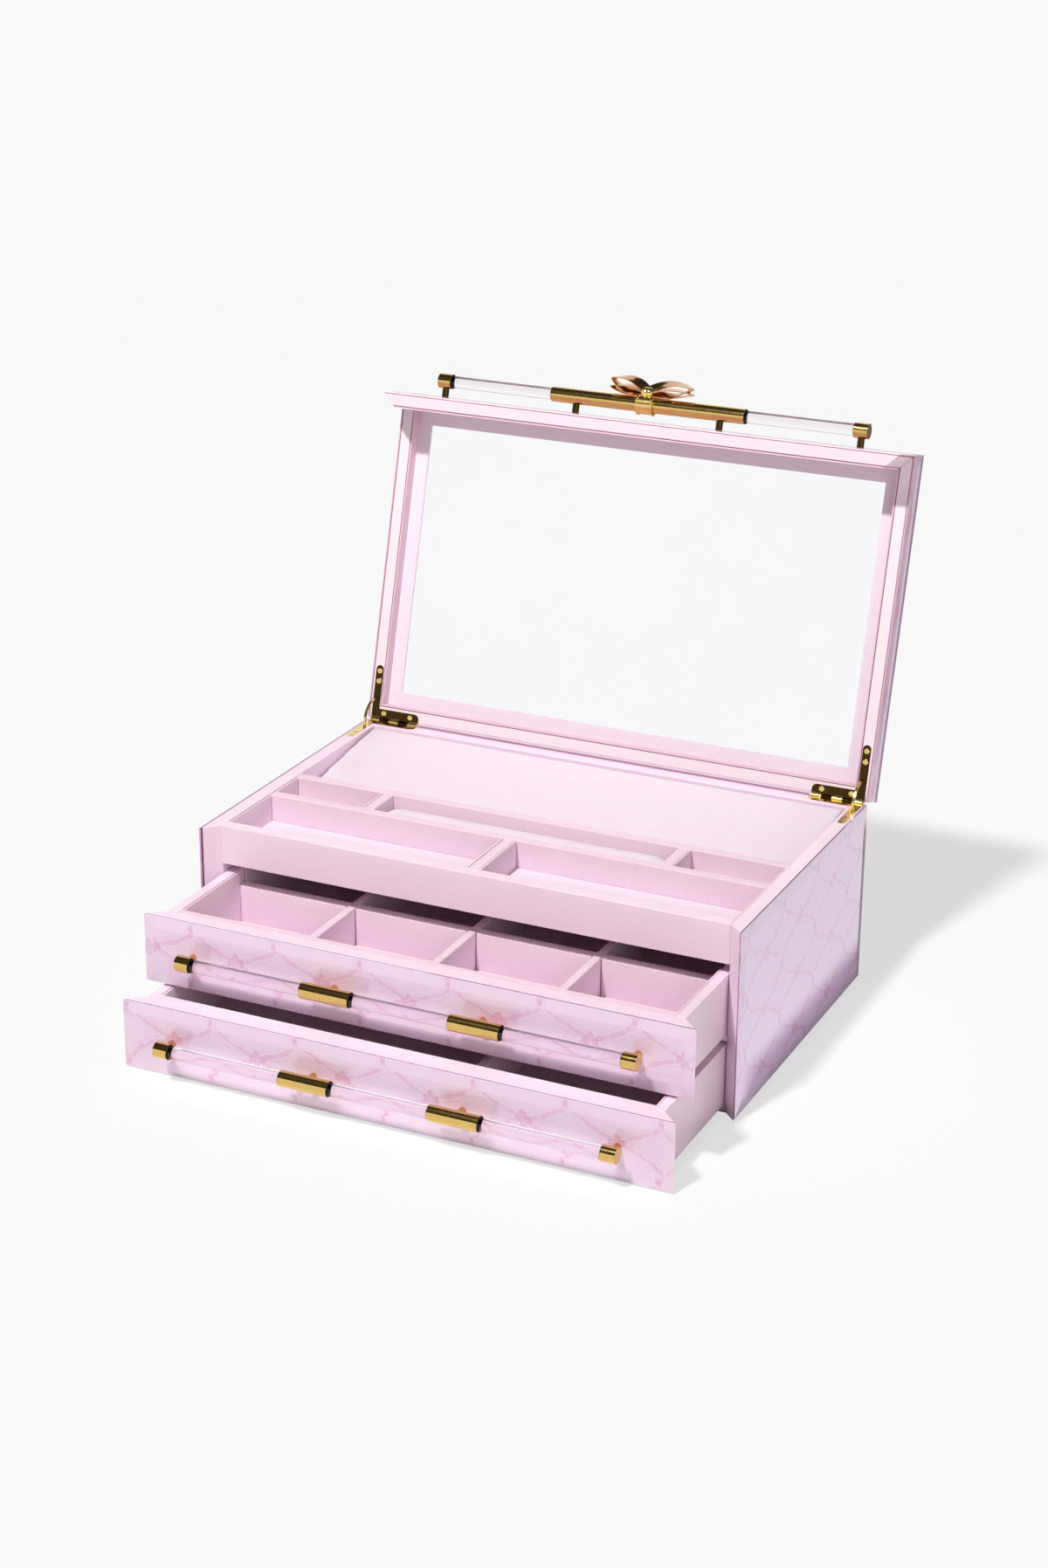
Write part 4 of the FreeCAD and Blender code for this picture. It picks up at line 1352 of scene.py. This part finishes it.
@dataclass
class Hinges:
    """Quadrant hinges: leaves, pins, curved stays, crossed-slot screws and a bead of painted shade in the gap
    between the barrels.
    """

    screw_places: tuple[Pair, ...] = ((183.6, 82.0), (183.6, 89.4), (155.8, 112.05), (176.8, 112.05))
    case_face: float = 128.5
    lid_face: float = 129.0
    head_r: float = 1.88 * MM
    neck_r: float = 1.0 * MM
    head_h: float = 0.9 * MM
    slot_l: float = 2.2 * MM
    slot_w: float = 0.4 * MM
    slot_h: float = 0.56 * MM
    seed: int = 11
    bead_r: float = 0.68
    bead_half: float = 148.3

    def on_axis(self, x: float, back: float, up: float) -> Vector:
        """Returns a place round the hinge axis."""
        return LID_PIVOT + Vector((x, back, up)) * MM

    def bead(self) -> None:
        """Lays a dull mauve bead in the gap behind the rim, between the two barrels, as painted shade of that
        gap.
        """
        half, r = self.bead_half, self.bead_r
        nose = [(half, 0.12), (half - 0.1, 0.6 * r), (half - 0.4, r)]
        mesh = bmesh.new()
        turned(mesh, [(-x, radius) for x, radius in nose] + nose[::-1], self.on_axis)
        settle(mesh_piece("hinge_gap_shade_bead", mesh, HINGE_GAP_SHADE), "case")

    def dress(self) -> None:
        """Dresses the leaves, pins and stays."""
        dress(FITTINGS, "case_hinge_leaves", "hinge_pins", "hinge_stay_left", "hinge_stay_right")
        # The lid's leaves take the brass painted dark, a painted reflection.
        dress(BRASS_DARK_REFLECTION, "lid_hinge_leaves")

    def screws(self) -> None:
        """Sets the screws of both leaves."""
        sizes = {
            "Head Radius": self.head_r,
            "Head Neck": self.neck_r,
            "Head Depth": self.head_h,
            "Slot Length": self.slot_l,
            "Slot Width": self.slot_w,
            "Slot Depth": self.slot_h,
        }
        tree = Scatter("hinge_screw_tree", sizes)
        tree.close(tree.screw(), self.seed)
        spots = [(side * x, y) for x, y in self.screw_places for side in (-1, 1)]
        case = [Vector((x, y, self.case_face)) * MM for x, y in spots]
        piece = tree.bake("case_leaf_screws", case, (0.0, 0.0, 0.0), FITTINGS)
        settle(piece, "case", ("case_hinge_screws",))
        lid = [lid_turn() @ (Vector((x, y, self.lid_face)) * MM) for x, y in spots]
        turn = (lid_turn().to_3x3() @ Matrix.Rotation(math.pi, 3, "X")).to_euler()
        piece = tree.bake("lid_leaf_screws", lid, tuple(turn), FITTINGS)
        settle(piece, "lid", ("lid_hinge_screws",))


@dataclass
class Lid:
    """The lid: boards, glass, lined rim, mirror and handle."""

    boards: tuple[str, ...] = ("lid_sides", "lid_back_rail", "lid_top_board")
    top: float = 147.1
    handle_ends: tuple[float, ...] = (71.15, 148.25)

    def dress(self) -> None:
        """Dresses the boards, lining, mirror and glass."""
        dress(LID_SHADED_LACQUER, *self.boards)
        dress(RIM_SHADED_LACQUER, "lid_front")
        dress(SHADED_LINING, "lid_liner")
        dress(LIT_PALE_SUEDE, "mirror_frame")
        dress(MIRROR, "mirror")
        glaze("lid_front_glass", Facing.FRONT, -HALF_D, Carrier.LID, (0.0, 6.0))
        glaze("lid_side_glass", Facing.SIDE, HALF_W, Carrier.LID, (12.0, 18.0))
        glaze("lid_back_glass", Facing.BACK, HALF_D, Carrier.LID, (0.0, 18.0))
        glaze("lid_top_glass", Facing.TOP, self.top, Carrier.LID, (0.0, 0.0))

    def fit_out(self) -> None:
        """Adds the handle's rings and bow."""
        handle = BarHandle("lid_handle", "lid", self.handle_ends)
        handle.dress()
        handle.rings()
        RibbonBow().build()


@dataclass
class Studio:
    """Pale floor, soft room light, key, fill and floor lamps, dark flags for the metal, and the camera."""

    eye: Triple = (0.73902, -1.59831, 0.84301)
    azimuth: float = 25.10
    elevation: float = 21.44
    roll: float = 0.44
    lens: float = 66.108
    sensor: float = 36.0
    paper: Colour = (0.97, 0.97, 0.97)
    lift: float = 0.68
    room: float = 0.13
    room_tint: Colour = (1.0, 0.68, 0.83)
    lamp_tint: Colour = (1.0, 0.985, 0.97)
    key_place: Triple = (-0.15, -0.77, 1.51)
    key_power: float = 88.0
    key_size: float = 0.04
    fill_from: Triple = (0.74, -0.53, 0.42)
    fill: float = 0.68
    fill_spread: float = math.radians(40.0)
    floor_light: float = 3.5
    floor_from: Triple = (-0.13, -0.50, 0.855)
    floor_spread: float = math.radians(5.0)
    floor_colour: Colour = (0.83, 0.86, 0.85)
    floor_shade: Colour = (0.835, 0.865, 0.855)
    floor_reach: float = 30.0
    flag_colour: Colour = (0.015, 0.013, 0.012)
    flag_shade: Colour = (0.02, 0.018, 0.016)

    def world(self) -> None:
        """Sets a pale background and an even room light."""
        world = bpy.data.worlds.new("studio")
        bpy.context.scene.world = world
        world.use_nodes = True
        w = Tree(world.node_tree)
        rays = w.node("ShaderNodeLightPath").outputs
        seen = w.maths("MAXIMUM", rays["Is Camera Ray"], rays["Is Glossy Ray"])
        seen = w.maths("MAXIMUM", seen, rays["Is Transmission Ray"])
        room = w.node("ShaderNodeBackground", {"Color": self.room_tint, "Strength": self.room})
        paper = w.node("ShaderNodeBackground", {"Color": self.paper})
        pick = w.node("ShaderNodeMixShader", {0: seen, 1: room.outputs[0], 2: paper.outputs[0]})
        w.node("ShaderNodeOutputWorld", {"Surface": pick.outputs[0]})

    def card(self, name: str, material: Material, across: Pair, near: Pair, far: Pair) -> Piece:
        """Adds one flat stage card.

        Args:
            name: the card's name.
            material: its material.
            across: x of its left and right edge, in metres.
            near: y and z of its near edge.
            far: y and z of its far edge.

        Returns:
            The card.
        """
        left, right = across
        data = bpy.data.meshes.new(name)
        data.from_pydata([(left, *near), (right, *near), (right, *far), (left, *far)], [], [(0, 1, 2, 3)])
        data.materials.append(material)
        made = added(name, data)
        return made

    def floor(self) -> Piece:
        """Lays the pale floor, which the camera sees lifted towards paper white.

        Returns:
            The floor.
        """
        w = Wiring("studio_floor")
        tone = w.mix(w.noise(w.place(), 3.0), self.floor_colour, self.floor_shade)
        material = w.surface(Base_Color=tone, Roughness=0.9, Specular_IOR_Level=0.1)
        lit = w.output.links[0].from_socket
        paper = w.first("ShaderNodeEmission", {"Color": self.paper})
        seen = w.mul(w.node("ShaderNodeLightPath").outputs["Is Camera Ray"], self.lift)
        w.feed(w.output, w.first("ShaderNodeMixShader", {0: seen, 1: lit, 2: paper}))
        reach = self.floor_reach
        return self.card("floor", material, (-reach, reach), (-reach, 0.0), (reach, 0.0))

    def flags(self) -> None:
        """Hangs dark cards that only reflections see."""
        w = Wiring("studio_flag")
        tone = w.mix(w.noise(w.place(), 2.0), self.flag_colour, self.flag_shade)
        material = w.surface(Base_Color=tone, Roughness=1.0)
        cards = {
            "front_flag": ((-3.0, 3.0), (-3.2, 1.5), (-0.4, 2.5)),
            "overhead_flag": ((-3.0, 3.0), (-0.4, 2.5), (2.0, 2.5)),
            "rear_flag": ((0.38, 2.0), (0.5, 0.002), (2.5, 0.002)),
        }
        for name, edges in cards.items():
            flag = self.card(name, material, *edges)
            flag.visible_camera = flag.visible_diffuse = False
            flag.visible_shadow = flag.visible_transmission = False

    def lamp(self, name: str, kind: str, **settings: float) -> Piece:
        """Hangs one lamp at the origin.

        Args:
            name: the lamp's name.
            kind: Blender's type of lamp.
            settings: its energy, and its radius or its spread.

        Returns:
            The lamp.
        """
        data = bpy.data.lights.new(name, kind)
        data.color = self.lamp_tint
        for key, value in settings.items():
            setattr(data, key, value)
        return added(name, data)

    def lamps(self, floor: Piece) -> None:
        """Hangs the key and the fill for the box, and an even light for the floor alone.

        Args:
            floor: the floor.
        """
        key = self.lamp("key", "POINT", energy=self.key_power, shadow_soft_size=self.key_size)
        key.location = self.key_place
        fill = self.lamp("fill", "SUN", energy=self.fill, angle=self.fill_spread)
        even = self.lamp("floor_light", "SUN", energy=self.floor_light, angle=self.floor_spread)
        for sun, source in ((fill, self.fill_from), (even, self.floor_from)):
            sun.rotation_euler = Vector(source).to_track_quat("Z", "Y").to_euler()
        for lamps, state in (((even,), "INCLUDE"), ((key, fill), "EXCLUDE")):
            chosen = bpy.data.collections.new("floor_" + state.lower())
            chosen.objects.link(floor)
            chosen.collection_objects[0].light_linking.link_state = state
            for lamp in lamps:
                lamp.light_linking.receiver_collection = chosen

    def camera(self) -> None:
        """Sets the camera at the photograph's viewpoint."""
        az, el, roll = (math.radians(a) for a in (self.azimuth, self.elevation, self.roll))
        back = Vector((math.sin(az) * math.cos(el), -math.cos(az) * math.cos(el), math.sin(el)))
        right = (-back).cross(Vector((0, 0, 1))).normalized()
        up = right.cross(-back)
        across = right * math.cos(roll) + up * math.sin(roll)
        over = up * math.cos(roll) - right * math.sin(roll)
        data = bpy.data.cameras.new("camera")
        data.sensor_width, data.sensor_fit, data.lens = self.sensor, "AUTO", self.lens
        made = added("camera", data)
        turn = Matrix((across, over, back)).transposed().to_4x4()
        made.matrix_world = Matrix.Translation(Vector(self.eye)) @ turn
        bpy.context.scene.camera = made

    def build(self) -> None:
        """Sets up the whole studio."""
        bpy.context.scene.view_settings.view_transform = "Standard"
        self.world()
        floor = self.floor()
        self.flags()
        self.lamps(floor)
        self.camera()


def main() -> None:
    """Builds and dresses the box, piece by piece."""
    logging.basicConfig(level=logging.INFO, format="%(message)s")
    Studio().build()
    parts = (
        Case(),
        Drawer("upper_drawer", "drawer_upper", ("long_divider",), (0.0, 4.0)),
        Drawer("lower_drawer", "drawer_lower", (), (30.5, 12.0)),
        Lid(),
    )
    for part in parts:
        part.dress()
        part.fit_out()
    hinges = Hinges()
    hinges.dress()
    hinges.screws()
    hinges.bead()
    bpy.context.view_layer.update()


if __name__ == "__main__":
    main()
